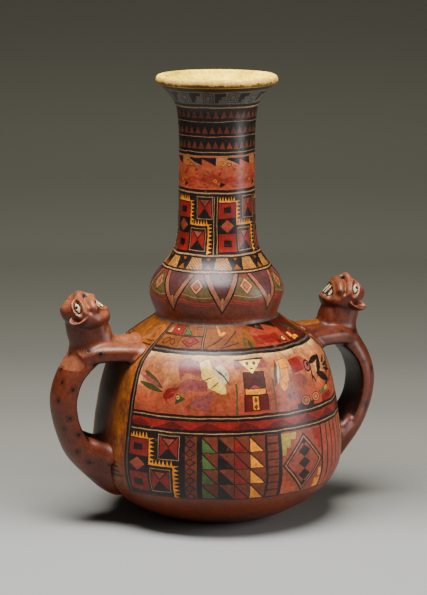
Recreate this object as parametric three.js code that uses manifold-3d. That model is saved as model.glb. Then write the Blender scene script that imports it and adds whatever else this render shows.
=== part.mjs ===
// A long-necked clay bottle with two handles, each modelled as a cat that climbs the bottle's side.
// One fired piece. Millimetres, +Z up, origin at the centre of the underside.
// The handles stand on the X axis, and the painted front faces -Y.

import * as THREE from 'three';
import { mergeVertices } from 'three/addons/utils/BufferGeometryUtils.js';
import Module from 'manifold-3d';

// The bottle's outside, as turns of radius and height, from the underside to the mouth
const BASE_RADIUS = 39;
const BODY_TURNS = [
  [58, 8.4], [73, 19.2], [82.6, 32], [85.6, 50], [81.4, 83], [74.4, 108.6], [65.6, 120], [44.4, 135.4],
];
const BULB_TURNS = [[41.6, 138.6], [43.8, 145.4], [45.9, 154.4], [43.4, 162.8], [36.4, 172], [30.2, 180.6]];
const NECK_TURNS = [[27.2, 190.5], [25.9, 213], [25.4, 248], [26.2, 271], [28.6, 282], [37.2, 293.4]];

// The lip is a round bead on the mouth
const HEIGHT = 300;
const LIP_ROUND = 3;
const LIP_RADIUS = 40.8;

// Clay thickness of the walls and of the floor inside
const WALL = 5.2;
const FLOOR = 7;

// Steps round the bottle, up its outside, down its inside and over its lip
const TURN_STEPS = 40;
const OUTSIDE_STEPS = 29;
const INSIDE_STEPS = 18;
const LIP_STEPS = 6;

// The cat's limbs. Each row is a place along the limb as X, Y and Z, then the height of the outer side,
// the depth of the inner side and the half width there.

// Cat's spine: from the tail, up the outside of the handle and through the neck into the head
const SPINE = [
  [71, 0, 23, 7, 6, 9], [79, 0, 29.5, 8, 7, 13.5], [88.3, 0, 44.1, 8.8, 7, 18.5],
  [97.3, 0, 57.1, 9.6, 4.5, 18], [103.3, 0, 69.9, 9.6, 3.4, 16], [105.7, 0, 82, 9.7, 3.4, 15.5],
  [105.1, 0, 90.9, 9.7, 3.4, 15.5], [101.9, 0, 100.5, 9.6, 3.6, 15.5], [97.6, 0, 108, 9.8, 5, 15],
  [93.8, 0, 115.6, 9.8, 8.4, 14], [92.4, 0, 124, 10.4, 11, 12.6], [93.4, 0, 133, 11.5, 12, 12.2],
  [94.2, 0, 143, 12, 12, 12],
];

// Cat's chest, which reaches over to the bottle's shoulder between the forelegs
const CHEST = [
  [99, 0, 115.5, 7, 6, 13], [89, 0, 120, 8.4, 7.4, 15], [76, 0, 121.6, 6.8, 7.6, 16],
  [57, 0, 121.4, 6, 7, 17],
];

// Cat's legs, on the +Y side, from the body to the paw on the bottle
const FORELEG = [
  [97, 8, 115, 5, 5, 6], [88, 11, 119.6, 7.6, 7, 7], [75, 14.4, 121.8, 7.8, 7.2, 7.4],
  [61, 17, 121.4, 7, 6.8, 6.8], [55.4, 18, 121, 3.4, 4, 4],
];
const HIND_LEG = [[98, 8, 59, 4, 4, 5], [91, 13.4, 55, 5.4, 6, 6], [81, 16, 46, 5, 6, 6.2]];

const SPINE_STEPS = 24;
const CHEST_STEPS = 5;
const LEG_STEPS = 6;
const LIMB_SIDES = 12;
const LEG_SIDES = 8;
const INNER_FLATNESS = 0.3;

// Cat's head: the middle, how far the face looks up and turns aside, half width, half depth and half height
const HEAD_MIDDLE = new THREE.Vector3(94.2, 0, 143.6);
const FACE_TILT = 53;
const HEAD_TURN = -9;
const HEAD_HALF = { side: 16, face: 13, crown: 14.6 };
const HEAD_SIDES = 22;
const HEAD_RINGS = 14;

// Forms on the head: direction as side, face and crown, height above the egg shape, spread in degrees.
// A form to one side is on both sides.
const HEAD_FORMS = [
  { name: 'nose', at: [0, 0.62, 0.78], rise: 3, spread: 14 },
  { name: 'chin', at: [0, 0.62, -0.78], rise: 2.2, spread: 26 },
  { name: 'whisker pad', at: [0.62, 0.72, 0.3], rise: 1.5, spread: 16 },
  { name: 'brow', at: [0.66, -0.02, 0.75], rise: 1.5, spread: 15 },
  { name: 'cheek', at: [0.86, 0.3, -0.4], rise: 1, spread: 24 },
];

// The open mouth: a shallow oval dish with a lip round it, its level on the crown axis and its half sizes,
// then the shares of the face axis between which it fades in, and the share of the oval where its edge starts
const MOUTH = { level: -1.6, halfWidth: 9.6, halfHeight: 6.6, dish: 1.2, lip: 1.1, lipSpread: 0.25 };
const MOUTH_FADE = { from: 0.1, to: 0.4 };
const MOUTH_EDGE = 0.75;

// Eyes: place on the head as side, face and crown, and half sizes along the same axes
const EYE_PLACE = { side: 12.1, face: 1.5, crown: 8.8 };
const EYE_HALF = { side: 3, face: 2.4, crown: 3 };
const EYE_SIDES = 8;
const EYE_RINGS = 5;

// Ears: place on the head as side, face and crown, the way they hang, the lean of the lower edge in degrees,
// then half width, drop, height above the place, half thickness and hollow
const EAR_PLACE = { side: 14.9, face: -4.2, crown: 3.4 };
const EAR_ACROSS = { face: 0.6, crown: -0.8 };
const EAR_DOWN = { face: -0.8, crown: -0.6 };
const EAR_LEAN = 36;
const EAR_HALF = { width: 7.5, drop: 6.6, top: 4, thickness: 2.6 };
const EAR_HOLLOW = 3.6;
const EAR_SIDES = 10;
const EAR_RINGS = 6;

const SLIP_COLOUR = 0x7a3520;
const SLIP_ROUGHNESS = 0.38;

const wasm = await Module();
wasm.setup();

// A closed three.js geometry as a solid, with its shared corners merged and the slivers at its poles left out
function solidFrom(geometry) {
  const bare = geometry.clone();
  bare.deleteAttribute('normal');
  bare.deleteAttribute('uv');
  const merged = mergeVertices(bare, 1e-4);
  const corners = merged.index.array;
  const triVerts = [];
  for (let i = 0; i < corners.length; i += 3) {
    const [a, b, c] = corners.slice(i, i + 3);
    if (a !== b && b !== c && c !== a) triVerts.push(a, b, c);
  }
  return new wasm.Manifold(new wasm.Mesh({
    numProp: 3,
    vertProperties: new Float32Array(merged.attributes.position.array),
    triVerts: new Uint32Array(triVerts),
  }));
}

// A solid as a three.js geometry with flat faces
function geometryFrom(solid) {
  const mesh = solid.getMesh();
  const geometry = new THREE.BufferGeometry();
  geometry.setAttribute('position', new THREE.BufferAttribute(new Float32Array(mesh.vertProperties), 3));
  geometry.setIndex(new THREE.BufferAttribute(new Uint32Array(mesh.triVerts), 1));
  geometry.computeVertexNormals();
  return geometry;
}

// Moves every corner of a geometry by a function of its first place
function reshape(geometry, place) {
  const corners = geometry.attributes.position;
  const corner = new THREE.Vector3();
  for (let i = 0; i < corners.count; i += 1) {
    corner.fromBufferAttribute(corners, i);
    const moved = place(corner);
    corners.setXYZ(i, moved.x, moved.y, moved.z);
  }
  return geometry;
}

// Smooth curve through turns of radius and height
function turnCurve(turns) {
  return new THREE.SplineCurve(turns.map(([radius, height]) => new THREE.Vector2(radius, height)));
}

// Points set in from a curve by a depth, square to the curve
function setIn(curve, depth, steps) {
  const points = [];
  for (let i = 0; i <= steps; i += 1) {
    const way = curve.getTangent(i / steps);
    const point = curve.getPoint(i / steps);
    points.push(new THREE.Vector2(point.x - depth * way.y, point.y + depth * way.x));
  }
  return points;
}

// A profile of radius and height turned about the bottle's axis
function turnedSolid(profile) {
  const turned = new THREE.LatheGeometry(profile, TURN_STEPS);
  turned.rotateX(Math.PI / 2);
  return solidFrom(turned);
}

// The turned bottle: up the outside, over the lip, down the inside to the floor
function bottleSolid(outline) {
  const inside = setIn(outline, WALL, INSIDE_STEPS).filter((point) => point.y > FLOOR);
  const lip = new THREE.Path();
  lip.absarc(LIP_RADIUS - LIP_ROUND, HEIGHT - LIP_ROUND, LIP_ROUND, -Math.PI / 2, Math.PI, false);
  return turnedSolid([
    new THREE.Vector2(0, 0),
    ...outline.getPoints(OUTSIDE_STEPS),
    ...lip.getPoints(LIP_STEPS),
    ...inside.reverse(),
    new THREE.Vector2(BASE_RADIUS, FLOOR),
    new THREE.Vector2(0, FLOOR),
  ]);
}

// The bottle's room and half its wall, which the handles' roots stop at
function coreSolid(outline) {
  const skin = setIn(outline, WALL / 2, INSIDE_STEPS).filter((point) => point.y > FLOOR);
  const top = skin[skin.length - 1].y;
  return turnedSolid([new THREE.Vector2(0, FLOOR), ...skin, new THREE.Vector2(0, top)]);
}

// A limb: a drum bent along a line, round on the outer side and nearly flat on the inner side
function limbSolid(rows, sides, steps) {
  const line = new THREE.CatmullRomCurve3(rows.map(([x, y, z]) => new THREE.Vector3(x, y, z)));
  const girth = new THREE.CatmullRomCurve3(rows.map((row) => new THREE.Vector3(...row.slice(3))));
  const drum = new THREE.CylinderGeometry(1, 1, 1, sides, steps);
  return solidFrom(reshape(drum, (corner) => {
    const share = THREE.MathUtils.clamp(corner.y + 0.5, 0, 1);
    const [back, belly, half] = girth.getPoint(share).toArray();
    const way = line.getTangent(share);
    const across = new THREE.Vector3(0, 1, 0).projectOnPlane(way).normalize();
    const outward = new THREE.Vector3().crossVectors(across, way);
    const depth = corner.z >= 0 ? corner.z * back : -belly * Math.abs(corner.z) ** INNER_FLATNESS;
    return line.getPoint(share).addScaledVector(outward, depth).addScaledVector(across, corner.x * half);
  }));
}

// A leg on one side of the cat
function legSolid(rows, hand) {
  return limbSolid(rows.map(([x, y, ...rest]) => [x, hand * y, ...rest]), LEG_SIDES, LEG_STEPS);
}

// The head's own axes: side to side, the way the face looks, and the crown
function headAxes() {
  const tilt = THREE.MathUtils.degToRad(FACE_TILT);
  const face = new THREE.Vector3(-Math.cos(tilt), 0, Math.sin(tilt));
  const crown = new THREE.Vector3(Math.sin(tilt), 0, Math.cos(tilt));
  const axes = { side: new THREE.Vector3(0, 1, 0), face, crown };
  const upright = new THREE.Vector3(0, 0, 1);
  for (const axis of Object.values(axes)) axis.applyAxisAngle(upright, THREE.MathUtils.degToRad(HEAD_TURN));
  return axes;
}

// A place given along the head's axes, in the bottle's frame
function onHead(side, face, crown, origin = HEAD_MIDDLE) {
  const axes = headAxes();
  return origin.clone()
    .addScaledVector(axes.side, side)
    .addScaledVector(axes.face, face)
    .addScaledVector(axes.crown, crown);
}

// Height of the mouth over the egg along a direction: a dish inside its oval and a lip round it
function mouthRise(way) {
  const across = (way.x * HEAD_HALF.side) / MOUTH.halfWidth;
  const upward = (way.z * HEAD_HALF.crown - MOUTH.level) / MOUTH.halfHeight;
  const reach = Math.hypot(across, upward);
  const front = THREE.MathUtils.smoothstep(way.y, MOUTH_FADE.from, MOUTH_FADE.to);
  const inside = 1 - THREE.MathUtils.smoothstep(reach, MOUTH_EDGE, 1);
  return front * (MOUTH.lip * Math.exp(-(((reach - 1) / MOUTH.lipSpread) ** 2)) - MOUTH.dish * inside);
}

// The head: an egg with nose, chin, whisker pads, brows and cheeks raised on it and the mouth dished
function headSolid() {
  const egg = new THREE.SphereGeometry(1, HEAD_SIDES, HEAD_RINGS);
  return solidFrom(reshape(egg, (corner) => {
    const way = corner.clone().normalize();
    const near = new THREE.Vector3(Math.abs(way.x), way.y, way.z);
    let rise = mouthRise(way);
    for (const form of HEAD_FORMS) {
      const angle = THREE.MathUtils.radToDeg(near.angleTo(new THREE.Vector3(...form.at)));
      rise += form.rise * Math.exp(-((angle / form.spread) ** 2));
    }
    return onHead(
      way.x * (HEAD_HALF.side + rise),
      way.y * (HEAD_HALF.face + rise),
      way.z * (HEAD_HALF.crown + rise),
    );
  }));
}

// One eye: a bead set in the brow
function eyeSolid(hand) {
  const bead = new THREE.SphereGeometry(1, EYE_SIDES, EYE_RINGS);
  return solidFrom(reshape(bead, (corner) => onHead(
    hand * EYE_PLACE.side + corner.x * EYE_HALF.side,
    EYE_PLACE.face + corner.y * EYE_HALF.face,
    EYE_PLACE.crown + corner.z * EYE_HALF.crown,
  )));
}

// One ear: a thick leaf, longer below, with its outer face hollowed and its lower edge leaning out
function earSolid(hand) {
  const zero = new THREE.Vector3();
  const lean = THREE.MathUtils.degToRad(EAR_LEAN);
  const out = onHead(hand, 0, 0, zero);
  const hang = onHead(0, EAR_DOWN.face, EAR_DOWN.crown, zero);
  const across = onHead(0, EAR_ACROSS.face, EAR_ACROSS.crown, zero).multiplyScalar(hand);
  const facing = out.clone().multiplyScalar(Math.cos(lean)).addScaledVector(hang, -Math.sin(lean));
  const down = hang.clone().multiplyScalar(Math.cos(lean)).addScaledVector(out, Math.sin(lean));
  const middle = onHead(hand * EAR_PLACE.side, EAR_PLACE.face, EAR_PLACE.crown);
  const leaf = new THREE.SphereGeometry(1, EAR_SIDES, EAR_RINGS);
  return solidFrom(reshape(leaf, (corner) => {
    const hollow = corner.y > 0 ? EAR_HOLLOW * corner.y ** 3 : 0;
    const drop = corner.z > 0 ? EAR_HALF.drop : EAR_HALF.top;
    return middle.clone()
      .addScaledVector(across, corner.x * EAR_HALF.width)
      .addScaledVector(facing, corner.y * EAR_HALF.thickness - hollow)
      .addScaledVector(down, corner.z * drop);
  }));
}

// A whole cat on the +X side
function catSolid() {
  let cat = limbSolid(SPINE, LIMB_SIDES, SPINE_STEPS)
    .add(limbSolid(CHEST, LIMB_SIDES, CHEST_STEPS))
    .add(headSolid());
  for (const hand of [-1, 1]) {
    cat = cat.add(earSolid(hand))
      .add(eyeSolid(hand))
      .add(legSolid(FORELEG, hand))
      .add(legSolid(HIND_LEG, hand));
  }
  return cat;
}

// The bottle with a cat on each side, all one piece of clay
function firedSolid() {
  const outline = turnCurve([[BASE_RADIUS, 0], ...BODY_TURNS, ...BULB_TURNS, ...NECK_TURNS]);
  const cat = catSolid().subtract(coreSolid(outline));
  return bottleSolid(outline).add(cat).add(cat.rotate([0, 0, 180]));
}

const slip = new THREE.MeshStandardMaterial({ color: SLIP_COLOUR, roughness: SLIP_ROUGHNESS, metalness: 0 });
const bottle = new THREE.Mesh(geometryFrom(firedSolid()), slip);
bottle.name = 'bottle';

const group = new THREE.Group();
group.add(bottle);

export default group;
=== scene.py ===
# %% [markdown]
# # A painted clay bottle with two climbing cats
#
# The real bottle is one fired piece of clay: a turned body, a bulb, a long neck with a flared mouth, and
# two handles modelled by hand as spotted cats. It is painted all over in thin coloured clay, called slip,
# and rubbed to a shine before the fire. Blender could spin the body with a Screw modifier and sculpt the
# cats. Here every surface is worked out with numpy instead, so each size is a named value that can be read
# and changed.

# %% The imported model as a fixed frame
import math

import bpy
import numpy as np
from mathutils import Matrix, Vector


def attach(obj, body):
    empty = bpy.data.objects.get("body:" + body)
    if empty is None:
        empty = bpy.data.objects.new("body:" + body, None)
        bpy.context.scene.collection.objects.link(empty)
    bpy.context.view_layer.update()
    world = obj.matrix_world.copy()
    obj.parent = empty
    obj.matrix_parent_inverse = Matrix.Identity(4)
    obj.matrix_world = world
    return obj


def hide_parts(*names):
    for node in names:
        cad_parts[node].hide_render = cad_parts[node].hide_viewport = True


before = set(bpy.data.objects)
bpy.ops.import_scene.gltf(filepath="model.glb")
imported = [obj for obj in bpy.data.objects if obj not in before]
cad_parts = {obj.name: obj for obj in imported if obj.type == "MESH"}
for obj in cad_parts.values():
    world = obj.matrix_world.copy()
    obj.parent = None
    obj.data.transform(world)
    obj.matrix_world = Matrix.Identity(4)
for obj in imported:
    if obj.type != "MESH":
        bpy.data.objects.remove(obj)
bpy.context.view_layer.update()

# %% [markdown]
# ## Lines and skins
#
# Two helpers carry the whole shape. A smooth line runs through a few chosen points, as a thin wooden batten
# would when it is bent past nails. A skin turns a grid of points into a closed mesh. A Bezier curve object
# could hold the lines, but arrays let us bend, swell and trim them in one go.

# %% Smooth lines and closed skins
MM = 0.001
LINE_DETAIL = 40


def smooth_line(points, count):
    """Catmull-Rom line: between two points runs a cubic whose slope at each is half the step from the point
    before to the point after, with the end points repeated. Returns count points at even shares of its
    length."""
    given = np.asarray(points, float)
    padded = np.vstack([given[:1], given, given[-1:]])
    share = np.linspace(0, len(given) - 1, LINE_DETAIL * len(given))
    start = np.minimum(share.astype(int), len(given) - 2)
    t = (share - start)[:, None]
    before, here, there, after = (padded[start + step] for step in range(4))
    line = (2 * t**3 - 3 * t**2 + 1) * here + (3 * t**2 - 2 * t**3) * there
    line += (t**3 - 2 * t**2 + t) * (there - before) / 2 + (t**3 - t**2) * (after - here) / 2
    length = np.concatenate([[0], np.cumsum(np.linalg.norm(np.diff(line, axis=0), axis=1))])
    even = np.linspace(0, length[-1], count)
    return np.stack([np.interp(even, length, column) for column in line.T], axis=1)


def skin(grid):
    """Closed skin over a grid of rows and columns, in mm: four neighbours make a face, the last column
    meets the first, and the first and last rows are each closed by a fan to their middle. Faces are turned
    outwards by the sign of the volume, the sum over the faces of corner times the cross product of the next
    two."""
    rows, columns = grid.shape[:2]
    corners = np.vstack([grid.reshape(-1, 3), grid[0].mean(0), grid[-1].mean(0)])
    here = np.arange(rows * columns).reshape(rows, columns)
    beside = np.roll(here, -1, axis=1)
    faces = np.stack([here[:-1], beside[:-1], beside[1:], here[1:]], axis=-1).reshape(-1, 4)
    start, end = np.full(columns, rows * columns), np.full(columns, rows * columns + 1)
    fans = np.vstack([
        np.stack([start, beside[0], here[0]], axis=1),
        np.stack([end, here[-1], beside[-1]], axis=1),
    ])
    a, b, c = (corners[faces[:, k]] for k in range(3))
    outward = np.einsum("ij,ij->", a - corners[-1], np.cross(b - corners[-1], c - corners[-1])) > 0
    turn = slice(None) if outward else slice(None, None, -1)
    return corners, faces[:, turn].tolist() + fans[:, turn].tolist()


def mesh_object(name, skins):
    """One object from several skins, at the origin, in metres, smooth shaded."""
    corners, faces, first = [], [], 0
    for part_corners, part_faces in skins:
        corners.append(part_corners)
        faces.extend([[first + corner for corner in face] for face in part_faces])
        first += len(part_corners)
    mesh = bpy.data.meshes.new(name)
    mesh.from_pydata((np.vstack(corners) * MM).tolist(), [], faces)
    mesh.shade_smooth()
    piece = bpy.data.objects.new(name, mesh)
    bpy.context.scene.collection.objects.link(piece)
    return piece


def corners_of(mesh):
    """Corners of a mesh as an array, in mm."""
    flat = np.empty(3 * len(mesh.vertices))
    mesh.vertices.foreach_get("co", flat)
    return flat.reshape(-1, 3) / MM


print("helpers ready: smooth_line, skin, mesh_object")

# %% [markdown]
# ## The turned bottle
#
# The potter raised the wall in coils and turned it true. Its outline is a line of radius against height,
# and the inside is the same line set in by the wall. A hand-made wall is never quite round, and those slow
# waves are what make a burnished pot catch the light in soft, broken patches, so they are added to the
# radius here.

# %% The bottle's outline and wall
BASE_RADIUS = 39.0
BODY_TURNS = [
    (58, 8.4), (73, 19.2), (82.6, 32), (85.6, 50), (81.4, 83), (74.4, 108.6), (65.6, 120), (44.4, 135.4),
]
BULB_TURNS = [(41.6, 138.6), (43.8, 145.4), (45.9, 154.4), (43.4, 162.8), (36.4, 172), (30.2, 180.6)]
NECK_TURNS = [(27.2, 190.5), (25.9, 213), (25.4, 248), (26.2, 271), (28.6, 282), (37.2, 293.4)]
HEIGHT = 300.0
LIP_ROUND = 3.0
LIP_RADIUS = 40.8
WALL = 5.2
FLOOR = 7.0
ROUND_STEPS = 256
OUTSIDE_ROWS = 150
INSIDE_ROWS = 60
LIP_ROWS = 14
BASE_ROWS = 5
POLE_RADIUS = 1.5
# Heights where one painted band ends and the next begins
BAND_EDGES = [71.9, 123.2, 136.9, 180.6]
# Each slow wave in the wall: its size in mm, how many go round, the height in mm of a radian of it, and
# where it starts
WALL_WAVES = [(0.26, 2, 70, 0.9), (0.17, 3, -31, 0), (0.10, 5, 13, 0), (0.06, 9, -7.3, 0)]
COIL_SIZE, COIL_PITCH, COIL_TILT = 0.07, 3.1, 2
FLAT_BELOW = 12

outline = smooth_line([(BASE_RADIUS, 0), *BODY_TURNS, *BULB_TURNS, *NECK_TURNS], OUTSIDE_ROWS)
for edge in BAND_EDGES:
    nearest = np.argmin(np.abs(outline[:, 1] - edge))
    outline[nearest] = np.interp(edge, outline[:, 1], outline[:, 0]), edge


def set_in(line, depth):
    """A line of radius and height moved in square to itself: the slope turned a quarter, times the depth."""
    slope = np.gradient(line, axis=0)
    slope /= np.linalg.norm(slope, axis=1)[:, None]
    return line + depth * np.stack([-slope[:, 1], slope[:, 0]], axis=1)


def wall_radius(height):
    """The bottle's outside radius at a height."""
    return np.interp(height, outline[:, 1], outline[:, 0])


def unevenness(angle, height):
    """How far the wall strays from a true turn, in mm: the coils' fine ridges and a few slow waves round
    and up the wall, all sines, which die out at the underside, where the bottle has worn flat."""
    waves = COIL_SIZE * np.sin(height / COIL_PITCH + COIL_TILT * np.sin(angle))
    for size, count, pitch, start in WALL_WAVES:
        waves = waves + size * np.sin(count * angle + height / pitch + start)
    return waves * np.clip(height / FLAT_BELOW, 0, 1)


def turned(profile):
    """A profile of radius and height turned about Z: sine and cosine of the angle times the uneven radius.
    The angle is 0 at the painted front, towards -Y, and grows towards +X."""
    angle = np.arange(ROUND_STEPS) * 2 * np.pi / ROUND_STEPS
    height = np.repeat(profile[:, 1:], ROUND_STEPS, axis=1)
    radius = profile[:, :1] + unevenness(angle, height) * np.clip(profile[:, :1] / BASE_RADIUS, 0, 1)
    return np.stack([radius * np.sin(angle), -radius * np.cos(angle), height], axis=-1)


def bottle_profile():
    """From the middle of the underside up the outside, over the round lip and down the inside to its
    floor."""
    lip_angle = np.linspace(-np.pi / 2, np.pi, LIP_ROWS)
    lip_middle = (LIP_RADIUS - LIP_ROUND, HEIGHT - LIP_ROUND)
    lip = lip_middle + LIP_ROUND * np.stack([np.cos(lip_angle), np.sin(lip_angle)], axis=1)
    room = set_in(smooth_line(outline, INSIDE_ROWS), WALL)
    room = room[room[:, 1] > FLOOR][::-1]
    out = np.linspace(POLE_RADIUS, BASE_RADIUS, BASE_ROWS)
    under = np.stack([out, 0 * out], axis=1)[:-1]
    floor = np.stack([out, 0 * out + FLOOR], axis=1)[::-1]
    return np.vstack([under, outline, lip, room, floor]), len(under) + len(outline)


profile, lip_row = bottle_profile()
bottle = mesh_object("painted_bottle", [skin(turned(profile))])
print("bottle rows", len(profile), "faces", len(bottle.data.polygons), "lip starts at row", lip_row)

# %% [markdown]
# ## The climbing cats
#
# Each handle is a cat: its tail and haunches sit low on the body, its back bows out as the grip, and its
# chest and forelegs reach over to the shoulder. A potter rolls such limbs from soft clay, presses them on
# and smooths the joins with a wet thumb. So the limbs are skins carried along lines, and a voxel remesh
# with some smoothing does the thumb's work. Sculpting would also do, but it couldn't be read as numbers.

# %% Limbs carried along lines
# Each row is a place along the limb as X, Y and Z, then the height of the outer side, the depth of the
# inner side and the half width there, from the tail over the back to the head
SPINE = [
    (71, 0, 23, 7, 6, 9), (79, 0, 29.5, 8.4, 7, 13.5), (88.3, 0, 44.1, 9.6, 7, 18.5),
    (97.3, 0, 57.1, 10.4, 4.5, 18), (103.3, 0, 69.9, 10.6, 3.4, 16), (105.7, 0, 82, 10.8, 3.4, 15.5),
    (105.1, 0, 90.9, 10.8, 3.4, 15.5), (101.9, 0, 100.5, 10.6, 3.6, 15.5), (97.6, 0, 108, 10.4, 5, 15),
    (93.8, 0, 115.6, 9.8, 8.4, 14), (92.4, 0, 124, 10.4, 11, 12.6), (93.4, 0, 133, 11.5, 12, 12.2),
    (94.2, 0, 143, 12, 12, 12),
]
CHEST = [
    (99, 0, 115.5, 7, 6, 13), (89, 0, 120, 8, 7.4, 12), (76, 0, 121, 6.6, 7.4, 11.5),
    (57, 0, 120.4, 6, 7, 12),
]
THROAT = [(93, 0, 141, 8, 8, 9), (85.6, 0, 132.6, 8, 8, 10.4), (83, 0, 125, 7, 8, 12), (82, 0, 117, 5, 6, 12)]
FORELEG = [
    (97, 8, 115, 5, 5, 6), (88, 11, 118.4, 5.6, 6.4, 7), (75, 14.4, 119, 5.4, 6.4, 7.4),
    (61, 17, 118, 5, 6.8, 6.8), (55, 18, 117, 3.4, 6, 5),
]
HIND_LEG = [(98, 8, 59, 4, 4, 5), (91, 13.4, 55, 5, 5.4, 5.6), (81, 16, 47, 4.6, 5, 5.8)]
INNER_FLATNESS = 0.3
LIMB_SIDES = 56
SPINE_ROWS = 120
LEG_ROWS = 40


def limb(rows, steps):
    """A D-shaped section carried along a line: the line's point, plus the half width along the across
    direction times a sine, plus, along the outward direction, the outer height times a cosine or, on the
    inner side, the depth times a small power of it, which is nearly flat. Across is the Y axis made square
    to the line, and outward is square to both."""
    line = smooth_line(rows, steps)
    place = line[:, :3]
    way = np.gradient(place, axis=0)
    way /= np.linalg.norm(way, axis=1)[:, None]
    across = np.array([0.0, 1.0, 0.0]) - way[:, 1:2] * way
    across /= np.linalg.norm(across, axis=1)[:, None]
    outward = np.cross(across, way)
    back, belly, half = line[:, 3:].T[:, :, None]
    turn = np.arange(LIMB_SIDES) * 2 * np.pi / LIMB_SIDES
    sine, cosine = np.sin(turn), np.cos(turn)
    depth = np.where(cosine >= 0, cosine * back, -belly * np.abs(cosine) ** INNER_FLATNESS)
    return place[:, None] + outward[:, None] * depth[..., None] + across[:, None] * (sine * half)[..., None]


def on_side(rows, hand):
    """The same rows with Y on the given hand, +1 or -1."""
    return np.array(rows) * (1, hand, 1, 1, 1, 1)


limbs = [skin(limb(SPINE, SPINE_ROWS)), skin(limb(CHEST, LEG_ROWS)), skin(limb(THROAT, LEG_ROWS))]
for hand in (-1, 1):
    limbs.append(skin(limb(on_side(FORELEG, hand), LEG_ROWS)))
    limbs.append(skin(limb(on_side(HIND_LEG, hand), LEG_ROWS)))
print("limbs made", len(limbs))

# %% [markdown]
# ## The cat's head
#
# The head looks up and in over the shoulder. It starts as an egg, and each feature is a swelling or a
# groove along a short line on it: nose, whisker pads, cheeks, chin. One formula adds them all, which is
# easier to tune than many small spheres. The mouth is a shallow dish with a lip round it and a row of long
# teeth standing in it, and a lid rings each eye. The two heads were modelled by hand and differ, so each
# cat has its own mouth.

# %% The head
HEAD_MIDDLE = np.array([94.2, 0.0, 143.6])
FACE_TILT = math.radians(53)
HEAD_TURN = math.radians(-9)
HEAD_HALF = np.array([16.0, 11.6, 14.6])
HEAD_RINGS = 180
HEAD_SIDES = 240
# A line of directions as side, face and crown, then rise in mm and spread in degrees; each form is on both
# sides
HEAD_FORMS = {
    "nose": ([(0, 0.8, 0.6)], 3.1, 14.5),
    "stop": ([(0, 0.22, 0.97)], -2.6, 20),
    "forehead": ([(0.2, -0.6, 0.77)], 1.2, 22),
    "chin": ([(0, 0.6, -0.8)], 2.8, 28),
    "jaw": ([(0.45, 0.5, -0.74), (0.8, 0.2, -0.55)], 0.8, 14),
    "muzzle": ([(0, 0.92, -0.3)], 0.6, 28),
    "whisker pad": ([(0, 0.97, 0.22), (0.5, 0.86, 0.12), (0.76, 0.64, -0.04)], 2.2, 12),
    "pad groove": ([(0.2, 0.86, 0.46), (0.5, 0.76, 0.4), (0.78, 0.6, 0.2), (0.92, 0.38, 0.02)], -2.0, 5),
    "cheek": ([(0.25, 0.68, 0.68), (0.6, 0.58, 0.54), (0.84, 0.46, 0.3), (0.96, 0.24, 0.12)], 1.3, 9),
    "nostril": ([(0.17, 0.89, 0.43)], -1.4, 6),
}
FORM_POWER = 2.4
# Level of the mouth's middle along the crown and how much higher its corners are, in mm
MOUTHS = {"cat_right": (-6.0, -1.6), "cat_left": (-3.0, 3.0)}
MOUTH_HALF = np.array([10.4, 4.4])
MOUTH_DISH, MOUTH_FRONT, MOUTH_EDGE = 2.5, (0.1, 0.4), (1.0, 0.8)
LIP_RISE, LIP_REACH, LIP_SPREAD = 0.6, 1.1, 0.22
TEETH_SPACING, TEETH_RISE = 4.4, 2.2
EYE_PLACE = np.array([12.7, 2.1, 8.0])
EYE_FACING = np.array([0.75, 0.14, 0.64])
EYE_SLANT = 0.5
EYE_LENGTH, EYE_BREADTH, EYE_DOME, EYE_PINCH = 3.7, 1.7, 1.5, 0.55
LID_REACH, LID_RISE, LID_SPREAD = 1.8, 1.4, 0.45
SOCKET_DEPTH, SOCKET_REACH = 1.1, 1.2


def head_axes():
    """Side, face and crown as rows: the face looks up and in, and the whole head is turned a little about
    Z."""
    upright = np.array([
        (0, 1, 0),
        (-math.cos(FACE_TILT), 0, math.sin(FACE_TILT)),
        (math.sin(FACE_TILT), 0, math.cos(FACE_TILT)),
    ])
    cosine, sine = math.cos(HEAD_TURN), math.sin(HEAD_TURN)
    return upright @ np.array([(cosine, sine, 0), (-sine, cosine, 0), (0, 0, 1)])


HEAD_AXES = head_axes()


def on_head(place):
    """Places given along the head's axes, in the bottle's frame."""
    return HEAD_MIDDLE + place @ HEAD_AXES


def ball(rings, sides):
    """Directions over a ball, as rings from one end of the second axis to the other: x sine, y cosine, z
    sine."""
    up = np.linspace(0, np.pi, rings + 2)[1:-1, None]
    turn = np.arange(sides) * 2 * np.pi / sides
    x, y, z = np.sin(up) * np.sin(turn), np.cos(up), np.sin(up) * np.cos(turn)
    return np.stack(np.broadcast_arrays(x, y, z), axis=-1)


def smooth_share(value, low, high):
    """Smoothstep from 0 at low to 1 at high."""
    t = np.clip((value - low) / (high - low), 0, 1)
    return t * t * (3 - 2 * t)


def mouth_oval(side, crown, mouth):
    """Squared oval radius about the mouth's middle line, which is a parabola across the face. It takes
    arrays, and the paint's fields too."""
    level, bow = mouth
    across = side * (1 / MOUTH_HALF[0])
    lift = (crown - across * across * bow - level) * (1 / MOUTH_HALF[1])
    return across * across + lift * lift


def mouth_rise(way, mouth):
    """Height of the mouth over the egg, in mm: an oval dish, a bell-shaped lip round it, and upright teeth
    inside it, which are the size of a sine across the face."""
    place = way * HEAD_HALF
    reach = np.sqrt(mouth_oval(place[..., 0], place[..., 2], mouth))
    front = smooth_share(way[..., 1], *MOUTH_FRONT)
    inside = smooth_share(reach, *MOUTH_EDGE)
    teeth = TEETH_RISE * np.abs(np.sin(np.pi * place[..., 0] / TEETH_SPACING))
    lip = LIP_RISE * np.exp(-(((reach - LIP_REACH) / LIP_SPREAD) ** 2))
    return front * (lip + inside * (teeth - MOUTH_DISH))


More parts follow.
